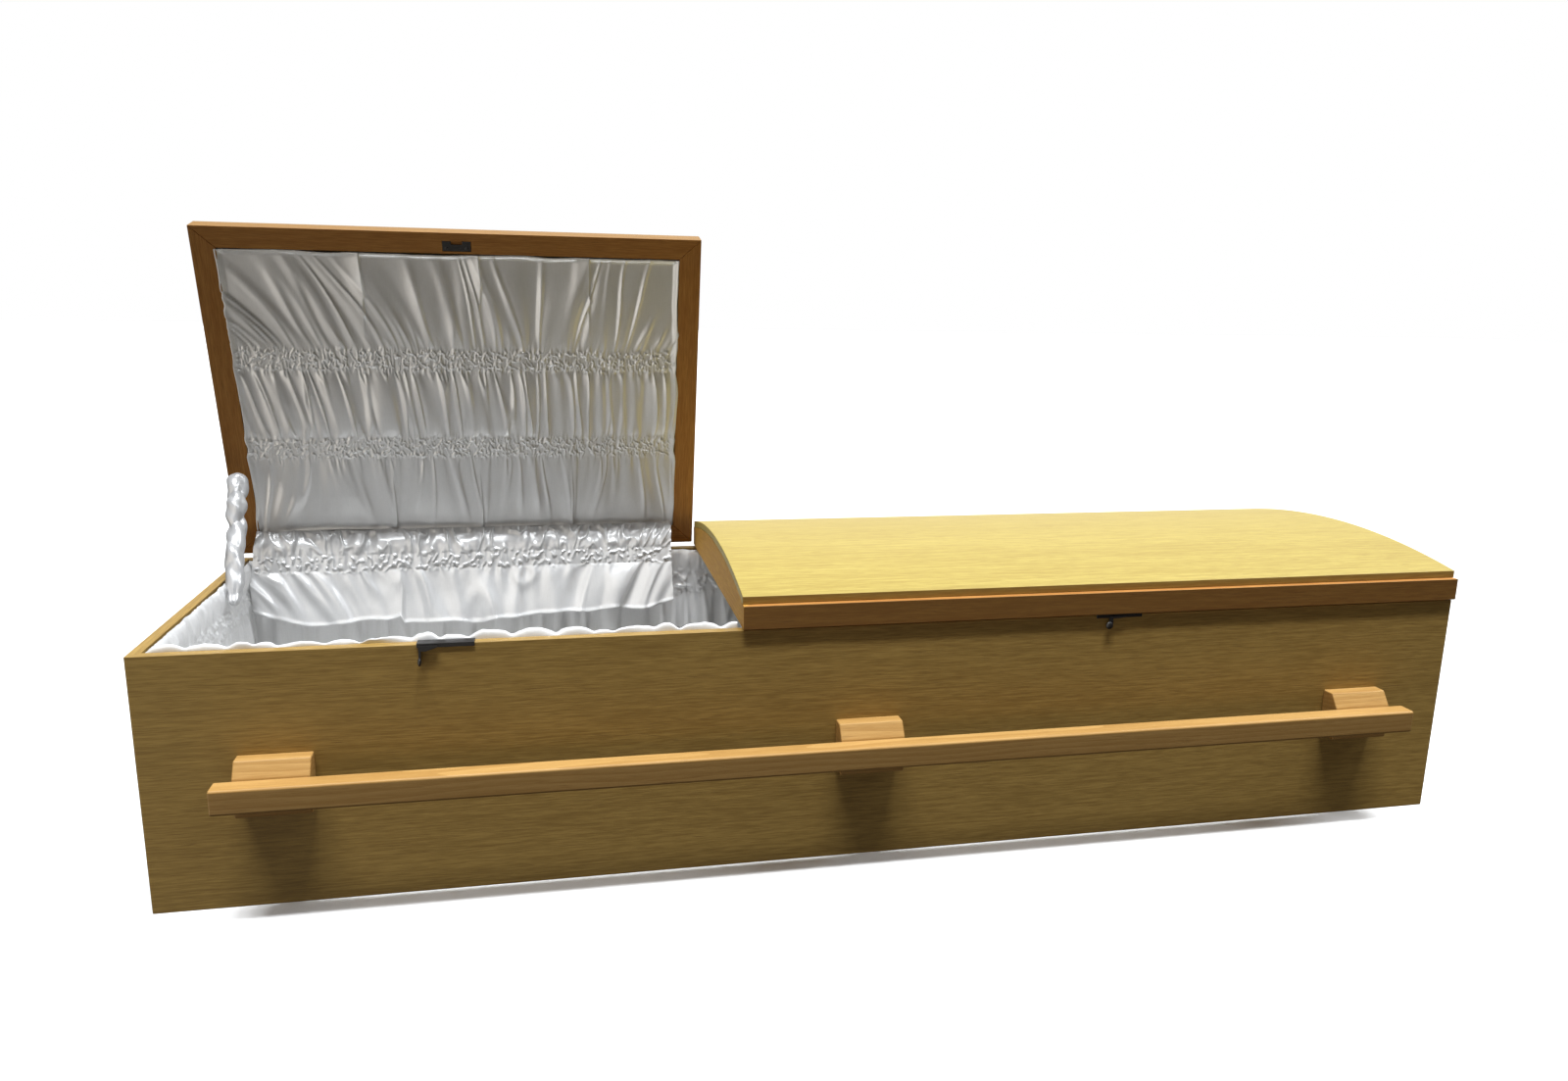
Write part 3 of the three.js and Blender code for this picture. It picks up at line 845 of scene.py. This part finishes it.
def grid_piece(name, points, cloth, material):
    """A smooth sheet from rows of points, with the cloth's own flat coordinates."""
    rows, columns = points.shape[:2]
    index = np.arange(rows * columns).reshape(rows, columns)
    corners = [index[:-1, :-1], index[:-1, 1:], index[1:, 1:], index[1:, :-1]]
    quads = np.stack(corners, axis=-1).reshape(-1, 4)
    mesh = new_mesh(name, points.reshape(-1, 3).tolist(), faces=quads.tolist())
    mesh.validate()
    set_vectors(mesh, "cloth", cloth.reshape(-1, 3))
    mesh.shade_smooth()
    return new_object(name, mesh, material)


# Lid linings: a padded panel let into the lid frame, gathered along two bands

LID_PANEL_BACK = 0.253
LID_PANEL_BASE = 0.388
PANEL_FLUSH = LID_PANEL_BASE - LID_FACE
PANEL_PAD = 0.0045
FOLD_TIP = 0.5
BAND_CENTRES = (0.163, 0.3255)
PANEL_PROUD = 0.0006
SIDE_BULGE = 0.0016
BAND_DRAW = 0.0026
END_BULGE = 0.0012
PANEL_INSET = 0.0004


def add_lid_lining(lid, x0, x1, stretches, step, seed):
    """The lining of a lid, shaped on the closed lid. Rows run from the hinges to the front."""
    rng = np.random.default_rng(seed)
    xs = np.linspace(x0, x1, round((x1 - x0) / step) + 1)
    rows, folds, crinkles = gathered(rng, xs, stretches)
    across, along = np.meshgrid(xs, rows)
    length = stretches[-1].end
    lift = PANEL_PAD + folds + crinkles
    across = across + FOLD_TIP * (folds - folds.mean())
    side = np.minimum(xs - x0, x1 - xs)[None, :]
    end = np.minimum(rows, length - rows)[:, None]
    edge = np.minimum(side, end)
    keep = ramp(edge, 0, 0.010)
    lift = keep * lift + (1 - keep) * (PANEL_FLUSH + PANEL_PROUD)
    for outward, place in ((-1, x0), (1, x1)):
        drawn = np.full(len(rows), SIDE_BULGE)
        for centre in BAND_CENTRES:
            drawn -= BAND_DRAW * np.exp(-((rows - centre) / 0.020) ** 2)
        drawn += 0.0011 * smooth_line(rng, len(rows), 5)
        near = np.exp(-np.abs(across - place) / 0.016)
        across = across + outward * drawn[:, None] * near
    for outward, place in ((-1, 0.0), (1, length)):
        drawn = END_BULGE + 0.0010 * smooth_line(rng, len(xs), 16)
        near = np.exp(-np.abs(along - place) / 0.014)
        along = along + outward * drawn[None, :] * near
    across, along, lift = (np.pad(array, 2, mode="edge") for array in (across, along, lift))
    for ring, depth in ((1, PANEL_FLUSH - 0.0012), (0, 0.0015)):
        border = np.ones(across.shape, bool)
        border[ring + 1:-ring - 1, ring + 1:-ring - 1] = False
        lift[border] = depth
        across[border] = np.clip(across[border], x0 + PANEL_INSET, x1 - PANEL_INSET)
        along[border] = np.clip(along[border], PANEL_INSET, length - PANEL_INSET)
    points = np.stack([across, LID_PANEL_BACK - along, LID_PANEL_BASE - lift], axis=-1)
    if lid == "head_lid":
        points = open_place(points)
    cloth = np.stack([across, along, lift], axis=-1)
    # The lid lining takes the lighter satin: painted light
    lining = grid_piece(lid + "_satin", points, cloth, LID_SATIN_PAINTED_LIGHT)
    add_piece(lining, lid + "_lining")


HEAD_X0, HEAD_X1 = -0.9885, -0.2370
TOP_PLEATS = (-0.992, -0.774, -0.581, -0.395, -0.233)
LOW_PLEATS = (-0.992, -0.751, -0.596, -0.430, -0.233)
head_stretches = [
    Folds(0.000, 0.144, 0.0036, "end", 0.0105, 0.0090, 0.045, LOW_PLEATS, 0.0050, edge_height=0.12),
    Shirring(0.144, 0.182, 0.0012, 3),
    Folds(0.182, 0.306, 0.0038, "start end", 0.0078, 0.0140, 0.020, lean=(-0.22, 0.03)),
    Shirring(0.306, 0.345, 0.0012, 3),
    Folds(0.345, 0.5125, 0.0036, "start", 0.0105, 0.0140, 0.045, TOP_PLEATS, 0.0060,
          lean=(-0.75, 0.40), edge_height=0.25),
]
add_lid_lining("head_lid", HEAD_X0, HEAD_X1, head_stretches, 0.00138, 11)

FOOT_X0, FOOT_X1 = -0.1570, 0.9885
foot_stretches = [
    Folds(0.000, 0.144, 0.0050, "end", 0.020, 0.0075, 0.060, edge_height=0.4),
    Shirring(0.144, 0.182, 0.0028, 3, 0.0040, 0.0036),
    Folds(0.182, 0.306, 0.0050, "start end", 0.010, 0.0080, 0.024),
    Shirring(0.306, 0.345, 0.0028, 3, 0.0040, 0.0036),
    Folds(0.345, 0.5125, 0.0050, "start", 0.020, 0.0075, 0.060, edge_height=0.4),
]
add_lid_lining("foot_lid", FOOT_X0, FOOT_X1, foot_stretches, 0.0034, 12)


# Wall linings: gathered once along a band below the rim

WALL_TOP = RIM - 0.0008
WALL_ROUND = 0.0042
WALL_FOOT = 0.0215
WALL_LENGTH = WALL_TOP - WALL_FOOT
BAND_HIGH = WALL_TOP - 0.327
BAND_LOW = WALL_TOP - 0.285


def wall_folds(fine):
    return [
        Folds(0.000, BAND_HIGH, 0.0030 * fine, "start end", 0.0085, 0.0080, 0.014),
        Shirring(BAND_HIGH, BAND_LOW, 0.0018 * fine, 3, 0.0050, 0.0032),
        Folds(BAND_LOW, WALL_LENGTH, 0.0055 * fine, "start", 0.013, 0.0130, 0.040, edge_height=0.5),
    ]


WALL_GAP = 0.0003
END_X = INSIDE_X - WALL_GAP
SIDE_Y = INSIDE_Y - WALL_GAP
SIDE_X = END_X - 0.0012
WALL_OFF = 0.0004
TOP_DIP = 0.0012


def add_wall(wall, inward, far, half, step, fine, seed):
    """The lining of a wall that looks inward, far from the middle and half wide to each side."""
    rng = np.random.default_rng(seed)
    xs = np.linspace(-half, half, round(2 * half / step) + 1)
    rows, folds, crinkles = gathered(rng, xs, wall_folds(fine))
    across, along = np.meshgrid(xs, rows)
    end = np.minimum(xs + half, half - xs)[None, :]
    out = WALL_OFF + (folds + crinkles) * ramp(end, -0.002, 0.012)
    out = out + WALL_ROUND * (1 - np.exp(-along / 0.005))
    top_dip = TOP_DIP * np.abs(smooth_line(rng, len(xs), 0.010 / step))
    along = along + top_dip[None, :] * np.exp(-along / 0.015)
    x = inward[0] * (out - far) - inward[1] * across
    y = inward[1] * (out - far) + inward[0] * across
    points = np.stack([x, y, WALL_TOP - along], axis=-1)
    cloth = np.stack([across, along, out], axis=-1)
    lining = grid_piece(wall + "_satin", points, cloth, SATIN)
    add_piece(lining, wall + "_lining")
    return lining


add_wall("back", (0, -1), SIDE_Y, SIDE_X, 0.0034, 1.0, 21)
add_wall("front", (0, 1), SIDE_Y, SIDE_X, 0.0046, 1.2, 22)
head_wall = add_wall("head", (1, 0), END_X, SIDE_Y, 0.0024, 0.9, 23)
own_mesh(head_wall)
add_wall("foot", (-1, 0), END_X, SIDE_Y, 0.0034, 1.2, 24)


# Floor lining, laid over the floor board with a few soft creases

floor_rng = np.random.default_rng(31)
FLOOR_COLUMNS, FLOOR_ROWS = 260, 72
FLOOR_EDGE = 0.001
FLOOR_Z = 0.0172
FLOOR_CREASE = 0.0018
floor_xs = np.linspace(-SIDE_X + FLOOR_EDGE, SIDE_X - FLOOR_EDGE, FLOOR_COLUMNS)
floor_ys = np.linspace(-SIDE_Y + FLOOR_EDGE, SIDE_Y - FLOOR_EDGE, FLOOR_ROWS)
creases = turning_noise(floor_rng, np.linspace(0, 1.4, FLOOR_ROWS), FLOOR_COLUMNS, 4.0)
across, along = np.meshgrid(floor_xs, floor_ys)
floor_z = FLOOR_Z + FLOOR_CREASE * np.abs(creases)
floor_points = np.stack([across, along, floor_z], axis=-1)
# The floor lining takes the darker satin: painted shade
floor_satin_painted_shade = grid_piece("floor_satin_painted_shade", floor_points, floor_points, FLOOR_SATIN_PAINTED_SHADE)
add_piece(floor_satin_painted_shade, "floor_lining")


# Front rim roll: the lining swells over the inner edge of the rim where the head lid is open

roll_rng = np.random.default_rng(33)
ROLL_X0, ROLL_X1 = -1.0040, -0.2010
ROLL_FOOT = 0.3690
ROLL_RADIUS = 0.012
ROLL_SAG = 0.014
ROLL_HALF = 0.0078
ROLL_LOW, ROLL_SWELL = 0.0095, 0.0150
ROLL_GAP = 0.0006
ROLL_COLUMNS, ROLL_TURNS = 440, 22
roll_xs = np.linspace(ROLL_X0, ROLL_X1, ROLL_COLUMNS)
roll_step = roll_xs[1] - roll_xs[0]
swell = np.zeros(ROLL_COLUMNS)
bulge = np.zeros(ROLL_COLUMNS)
place = ROLL_X0
while place < ROLL_X1:
    pillow = roll_rng.uniform(0.026, 0.082)
    tall = roll_rng.uniform(0.50, 1.0)
    inside = (roll_xs - place) / pillow
    dome = np.clip(1 - np.abs(2 * inside - 1) ** 2.6, 0, 1) ** 0.7
    swell = np.maximum(swell, tall * dome)
    bulge = np.maximum(bulge, roll_rng.uniform(0.6, 1.0) * dome)
    place += pillow * roll_rng.uniform(0.86, 0.97)
swell = np.convolve(np.pad(swell, 2, mode="edge"), np.ones(5) / 5, mode="valid")
swell = swell * (1 + 0.06 * smooth_line(roll_rng, ROLL_COLUMNS, 0.004 / roll_step))
turns = np.linspace(0, math.pi, ROLL_TURNS)
roll_points = np.empty((ROLL_TURNS, ROLL_COLUMNS, 3))
roll_lean = 0.0016 * smooth_line(roll_rng, ROLL_COLUMNS, 0.014 / roll_step)
for index, turn in enumerate(turns):
    inward = ROLL_HALF * (1 - math.cos(turn)) * (0.6 + 0.4 * bulge)
    foot = ROLL_FOOT - ROLL_SAG * index / (ROLL_TURNS - 1)
    roll_points[index, :, 0] = roll_xs
    roll_points[index, :, 1] = -INSIDE_Y + ROLL_GAP + inward + roll_lean * math.sin(turn)
    roll_points[index, :, 2] = foot + (ROLL_LOW + ROLL_SWELL * swell) * math.sin(turn) ** 0.6
roll_flat = np.zeros(roll_points.shape[:2])
roll_cloth = np.stack([*np.meshgrid(roll_xs, turns * ROLL_RADIUS), roll_flat], axis=-1)
rim_roll = grid_piece("front_rim_roll", roll_points, roll_cloth, SATIN)
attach(rim_roll, "box")
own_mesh(rim_roll)


# Apron: a flap sewn along the hinge side of the head lid, shirred once, hanging into the box

APRON_CURVE = np.array([
    (0.2842, 0.4235), (0.2765, 0.4105), (0.2625, 0.3945), (0.2540, 0.3750), (0.2495, 0.3560),
    (0.2455, 0.3360), (0.2380, 0.3050), (0.2290, 0.2760), (0.2220, 0.2500),
])


def smooth_curve(corners, count):
    """A curve through the corners, evenly stepped by its length."""
    ends = np.vstack([2 * corners[0] - corners[1], corners, 2 * corners[-1] - corners[-2]])
    dense = []
    for index in range(1, len(ends) - 2):
        p0, p1, p2, p3 = ends[index - 1:index + 3]
        for t in np.linspace(0, 1, 20, endpoint=False):
            dense.append(0.5 * (
                2 * p1 + (p2 - p0) * t + (2 * p0 - 5 * p1 + 4 * p2 - p3) * t * t
                + (3 * p1 - p0 - 3 * p2 + p3) * t ** 3
            ))
    dense.append(corners[-1])
    dense = np.array(dense)
    travelled = np.concatenate([[0], np.cumsum(np.linalg.norm(np.diff(dense, axis=0), axis=1))])
    even = np.linspace(0, travelled[-1], count)
    points = np.stack([np.interp(even, travelled, dense[:, axis]) for axis in (0, 1)], axis=1)
    return even, points


apron_s, apron_yz = smooth_curve(APRON_CURVE, 200)
APRON_LENGTH = apron_s[-1]
apron_slope = np.gradient(apron_yz, apron_s, axis=0)
APRON_X0, APRON_X1 = -0.9930, -0.2440
HEM_X = (-1.000, -0.983, -0.930, -0.868, -0.742, -0.736, -0.608, -0.430, -0.300, -0.244)
HEM_Z = (0.292, 0.281, 0.264, 0.257, 0.271, 0.257, 0.257, 0.266, 0.268, 0.276)
APRON_TUCK = -0.739
TUCK_RISE = 0.05
TUCK_FALL = 0.002
TUCK_HEIGHT = 0.006
HEM_HEIGHT = 0.0022
SKIRT = 0.078
APRON_OFF = 0.0015
APRON_TIP = 0.45
FLARE_S = (0.0, 0.05, 0.11, 0.15, 0.19)
FLARE = (0.0, 0.002, 0.009, 0.006, 0.002)
apron_rng = np.random.default_rng(35)
apron_xs = np.linspace(APRON_X0, APRON_X1, 440)
apron_stretches = [
    Folds(0.000, 0.052, 0.0018, "start end", 0.0078, 0.0125, 0.014, lean=(0.3, -0.3), wander=0.95),
    Shirring(0.052, SKIRT, 0.0012, 2, 0.0038, 0.0027),
    Folds(SKIRT, APRON_LENGTH, 0.0021, "start", 0.0125, 0.0145, 0.030, lean=(0.8, -0.5),
          edge_height=0.75, wander=0.45, pinch=0.20, pinch_spread=1.7),
]
apron_rows, apron_folds, apron_crinkles = gathered(apron_rng, apron_xs, apron_stretches)
across, along = np.meshgrid(apron_xs, apron_rows)
hem_z = np.interp(apron_xs, HEM_X, HEM_Z)
hem_z = hem_z + 0.0020 * smooth_line(apron_rng, len(apron_xs), 11)
hem_s = np.interp(-hem_z, -apron_yz[:, 1], apron_s)
stretch = (hem_s - SKIRT) / (APRON_LENGTH - SKIRT)
along = np.where(along > SKIRT, SKIRT + (along - SKIRT) * stretch[None, :], along)
ruffle = 0.0012 * smooth_line(apron_rng, len(apron_xs), 4)
along = along + ruffle[None, :] * np.exp(-along / 0.006)
tuck = overlap(across - APRON_TUCK, TUCK_RISE, TUCK_FALL)
hem_roll = np.exp(-((hem_s[None, :] - along - 0.003) / 0.0035) ** 2)
out = APRON_OFF + apron_folds + apron_crinkles
out = out + TUCK_HEIGHT * tuck * ramp(along, 0.085, 0.15) + HEM_HEIGHT * hem_roll
across = across + APRON_TIP * (apron_folds - apron_folds.mean(axis=1, keepdims=True))
flare = np.interp(apron_rows, FLARE_S, FLARE)
across = across - flare[:, None] * np.exp(-(across - APRON_X0) / 0.05)
base_y, base_z, slope_y, slope_z = (
    np.interp(along, apron_s, line) for line in (*apron_yz.T, *apron_slope.T)
)
apron_points = np.stack([across, base_y + out * slope_z, base_z - out * slope_y], axis=-1)
apron_cloth = np.stack([across, along, out], axis=-1)
# The apron takes the darker satin: painted shade
apron = grid_piece("apron_satin_painted_shade", apron_points, apron_cloth, APRON_SATIN_PAINTED_SHADE)
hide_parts("apron", "apron_strip")
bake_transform(apron)


# Stitches along the apron's hem

def stitch_tree():
    """Short stitches of thread set end to end along a line."""
    sizes = {"Spacing": 0.0042, "Length": 0.0030, "Thickness": 0.0006}
    nodes, given, keys = new_tree("hem_stitches", sizes)
    line = nodes.node("GeometryNodeMeshToCurve", {"Mesh": given["Geometry"]})
    line = nodes.node("GeometryNodeResampleCurve", {
        "Curve": line, "Length": given["Spacing"],
    }, mode="LENGTH")
    stitch = nodes.node("GeometryNodeMeshUVSphere", {"Segments": 6, "Rings": 4, "Radius": 0.5})
    tangent = nodes.node("GeometryNodeInputTangent")
    turn = nodes.node("FunctionNodeAlignRotationToVector", {"Vector": tangent}, axis="X")
    size = nodes.node("ShaderNodeCombineXYZ", {
        "X": given["Length"], "Y": given["Thickness"], "Z": given["Thickness"],
    })
    stitches = nodes.node("GeometryNodeInstanceOnPoints", {
        "Points": line, "Instance": stitch, "Rotation": turn, "Scale": size,
    })
    return close_tree(nodes, given, stitches), keys


HEM_STITCH_BACK = 4
hem_line = apron_points[-HEM_STITCH_BACK].tolist()
hem_edges = [(step, step + 1) for step in range(len(hem_line) - 1)]
hem_seed = new_mesh("apron_hem_stitches_line", hem_line, hem_edges)
hem_stitches = grown("apron_hem_stitches", hem_seed, stitch_tree(), THREAD)
hem_stitches.data.shade_smooth()
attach(hem_stitches, "box")


# Stay: a satin sleeve drawn over the lid stay, gathered into soft swellings

STAY_FOOT = Vector((-0.987, 0.091, 0.355))
STAY_TIP = Vector((-1.0055, 0.240, 0.5365))
stay_rng = np.random.default_rng(37)
STAY_ROWS, STAY_SIDES, STAY_LAP = 200, 72, 5
STAY_TAIL = 0.020
STAY_RADIUS = 0.0160
STAY_GIRTH_RADIUS = 0.0155
stay_axis = np.array((STAY_TIP - STAY_FOOT).normalized())
stay_length = (STAY_TIP - STAY_FOOT).length
stay_side = np.cross(stay_axis, (1.0, 0.0, 0.0))
stay_side = stay_side / np.linalg.norm(stay_side)
stay_other = np.cross(stay_axis, stay_side)
travel = np.linspace(-STAY_TAIL, stay_length, STAY_ROWS)
share = travel / stay_length
step_angle = 2 * math.pi / STAY_SIDES
angle = np.arange(STAY_SIDES + STAY_LAP + 1) * step_angle
WAISTS = (0.04, 0.22, 0.38, 0.60, 0.78)
WAIST_DEPTHS = (0.0034, 0.0022, 0.0028, 0.0042, 0.0040)
WAIST_TILT, WAIST_WIDTH = 0.050, 0.045
WRINKLE, SLANT, LAP_RISE, SWAY = 0.0008, 0.0011, 0.0006, 0.0026
radius = np.full((STAY_ROWS, len(angle)), STAY_RADIUS)
for index, waist in enumerate(WAISTS):
    tilt = WAIST_TILT * np.cos(angle + 2.3 * index)[None, :]
    pinch = np.exp(-np.abs((share[:, None] - waist - tilt) / WAIST_WIDTH) ** 1.5)
    radius = radius - WAIST_DEPTHS[index] * pinch
wrinkles = turning_noise(stay_rng, 4.0 * share, STAY_SIDES, 3.4)
columns = np.arange(len(angle)) % STAY_SIDES
slant = np.sin(3 * angle[None, :] + 34 * share[:, None] + 1.5 * np.sin(9 * share[:, None]))
radius = radius + WRINKLE * wrinkles[:, columns] + SLANT * slant * ramp(share, 0.02, 0.2)[:, None]
radius = radius + LAP_RISE * ramp(np.arange(len(angle)), STAY_SIDES - 2, STAY_SIDES + 1)[None, :]
cap = np.clip((stay_length - travel) / 0.015, 0, 1)
tail = 0.45 + 0.55 * ramp(travel, -STAY_TAIL, 0.022)
tail = tail * np.sqrt(np.clip((travel + STAY_TAIL) / 0.007, 0, 1))
gathers = 1 + 0.09 * np.cos(8 * angle)[None, :] * (1 - ramp(travel, -0.010, 0.030))[:, None]
radius = radius * gathers * (np.sqrt(1 - (1 - cap) ** 2) * tail)[:, None]
spine = np.array(STAY_FOOT) + travel[:, None] * stay_axis
sway = SWAY * np.sin(share * 15) * ramp(1 - share, 0, 0.3)
spine = spine + sway[:, None] * stay_side
round_it = np.cos(angle)[:, None] * stay_side + np.sin(angle)[:, None] * stay_other
stay_points = spine[:, None, :] + radius[..., None] * round_it
stay_cloth = np.stack([*np.meshgrid(angle * STAY_GIRTH_RADIUS, travel), radius], axis=-1)
# The stay sleeve takes the darker satin: painted shade
stay_satin_painted_shade = grid_piece("stay_sleeve_satin", stay_points, stay_cloth, STAY_SATIN_PAINTED_SHADE)
weld(stay_satin_painted_shade.data, stay_satin_painted_shade.data)
add_piece(stay_satin_painted_shade, "lid_stay")


# Stage: a pale floor, a row of suns overhead that lean to the front, a soft one from the foot end,
# and a sky that glows and gleams from a few sides

OVERHEAD_TINT = (0.97, 1.0, 1.03)
ROOM_TINT = rgb(1.0, 0.94, 0.85)


def sun_light(name, towards, energy, spread):
    light = bpy.data.lights.new(name, "SUN")
    light.energy = energy
    light.color = OVERHEAD_TINT
    light.angle = math.radians(spread)
    lamp = bpy.data.objects.new(name, light)
    lamp.location = Vector(towards).normalized() * 4
    lamp.rotation_euler = Vector(towards).to_track_quat("Z", "Y").to_euler()
    bpy.context.scene.collection.objects.link(lamp)


OVERHEAD_LEANS = (-15, -9, -3, 3, 9)
OVERHEAD_FRONT = 0.178
OVERHEAD_ENERGY = 4.90
OVERHEAD_SPREAD = 5
FOOT_END_SIDE = (0.64, 0.0, 0.77)
FOOT_END_ENERGY = 2.25
FOOT_END_SPREAD = 30
for number, lean in enumerate(OVERHEAD_LEANS):
    towards = (math.tan(math.radians(lean)), -OVERHEAD_FRONT, 1.0)
    energy = OVERHEAD_ENERGY / len(OVERHEAD_LEANS)
    sun_light(f"overhead_{number}", towards, energy, OVERHEAD_SPREAD)
sun_light("overhead_foot_end", FOOT_END_SIDE, FOOT_END_ENERGY, FOOT_END_SPREAD)

FLOOR_HALF = 30.0
FLOOR_SIDES = ((-1, -1), (1, -1), (1, 1), (-1, 1))
floor_corners = [(FLOOR_HALF * x, FLOOR_HALF * y, 0) for x, y in FLOOR_SIDES]
floor_mesh = new_mesh("studio_floor", floor_corners, faces=[(0, 1, 2, 3)])
FLOOR_FINISH, floor_nodes = new_finish("pale_floor")
close_finish(floor_nodes, {"Base Color": rgb(0.93, 0.93, 0.93), "Roughness": 0.9})
studio_floor = new_object("studio_floor", floor_mesh, FLOOR_FINISH)
studio_floor.visible_diffuse = False
studio_floor.visible_glossy = False

world = bpy.data.worlds.new("studio")
bpy.context.scene.world = world
world.use_nodes = True
sky = Nodes(world.node_tree)
seen = sky.node("ShaderNodeLightPath")
direction = sky.node("ShaderNodeTexCoord")

# Soft lobes of light: direction, sharpness, strength on matt surfaces and in mirrored light
LOBES = (
    ((-0.85, -0.50, -0.15), 6.0, 0.19, 3.4),
    ((0.3, 0.85, 0.40), 3.0, 0.30, 1.20),
    ((-0.35, -0.78, 0.52), 14.0, 0.0, 2.2),
    ((0.0, -0.60, -0.80), 3.0, 0.36, 0.0),
)
mirrored = sky.node("ShaderNodeLightPath", out=3)
glow = 0.03
gleam = 0.04
for towards, sharpness, matt_strength, mirror_strength in LOBES:
    inputs = {0: direction, 1: tuple(Vector(towards).normalized())}
    level = sky.node("ShaderNodeVectorMath", inputs, out=1, operation="DOT_PRODUCT")
    level = sky.node("ShaderNodeMath", {0: level, 1: 0.0}, operation="MAXIMUM") ** sharpness
    glow = glow + level * matt_strength
    gleam = gleam + level * mirror_strength
level = glow * (1 - mirrored) + gleam * mirrored
fill = sky.node("ShaderNodeBackground", {"Color": ROOM_TINT, "Strength": level})
white = sky.node("ShaderNodeBackground", {"Color": rgb(1, 1, 1), "Strength": 1.0})
both = sky.node("ShaderNodeMixShader", {0: seen, 1: fill, 2: white})
sky.node("ShaderNodeOutputWorld", {"Surface": both})

bpy.context.scene.view_settings.view_transform = "Standard"


# Camera

looking = Matrix.Rotation(CAMERA_ROLL, 3, "Y") @ Matrix.Rotation(CAMERA_PITCH, 3, "X")
right, ahead, up = looking @ Matrix.Rotation(CAMERA_YAW, 3, "Z")
camera_data = bpy.data.cameras.new("camera")
camera_data.sensor_fit = "HORIZONTAL"
camera_data.sensor_width = SENSOR
camera_data.lens = FOCAL_PIXELS / IMAGE_WIDE * SENSOR
camera_data.clip_start = 0.05
camera = bpy.data.objects.new("camera", camera_data)
stance = Matrix((right, up, -ahead)).transposed().to_4x4()
stance.translation = CAMERA_AT
camera.matrix_world = stance
bpy.context.scene.collection.objects.link(camera)
bpy.context.scene.camera = camera
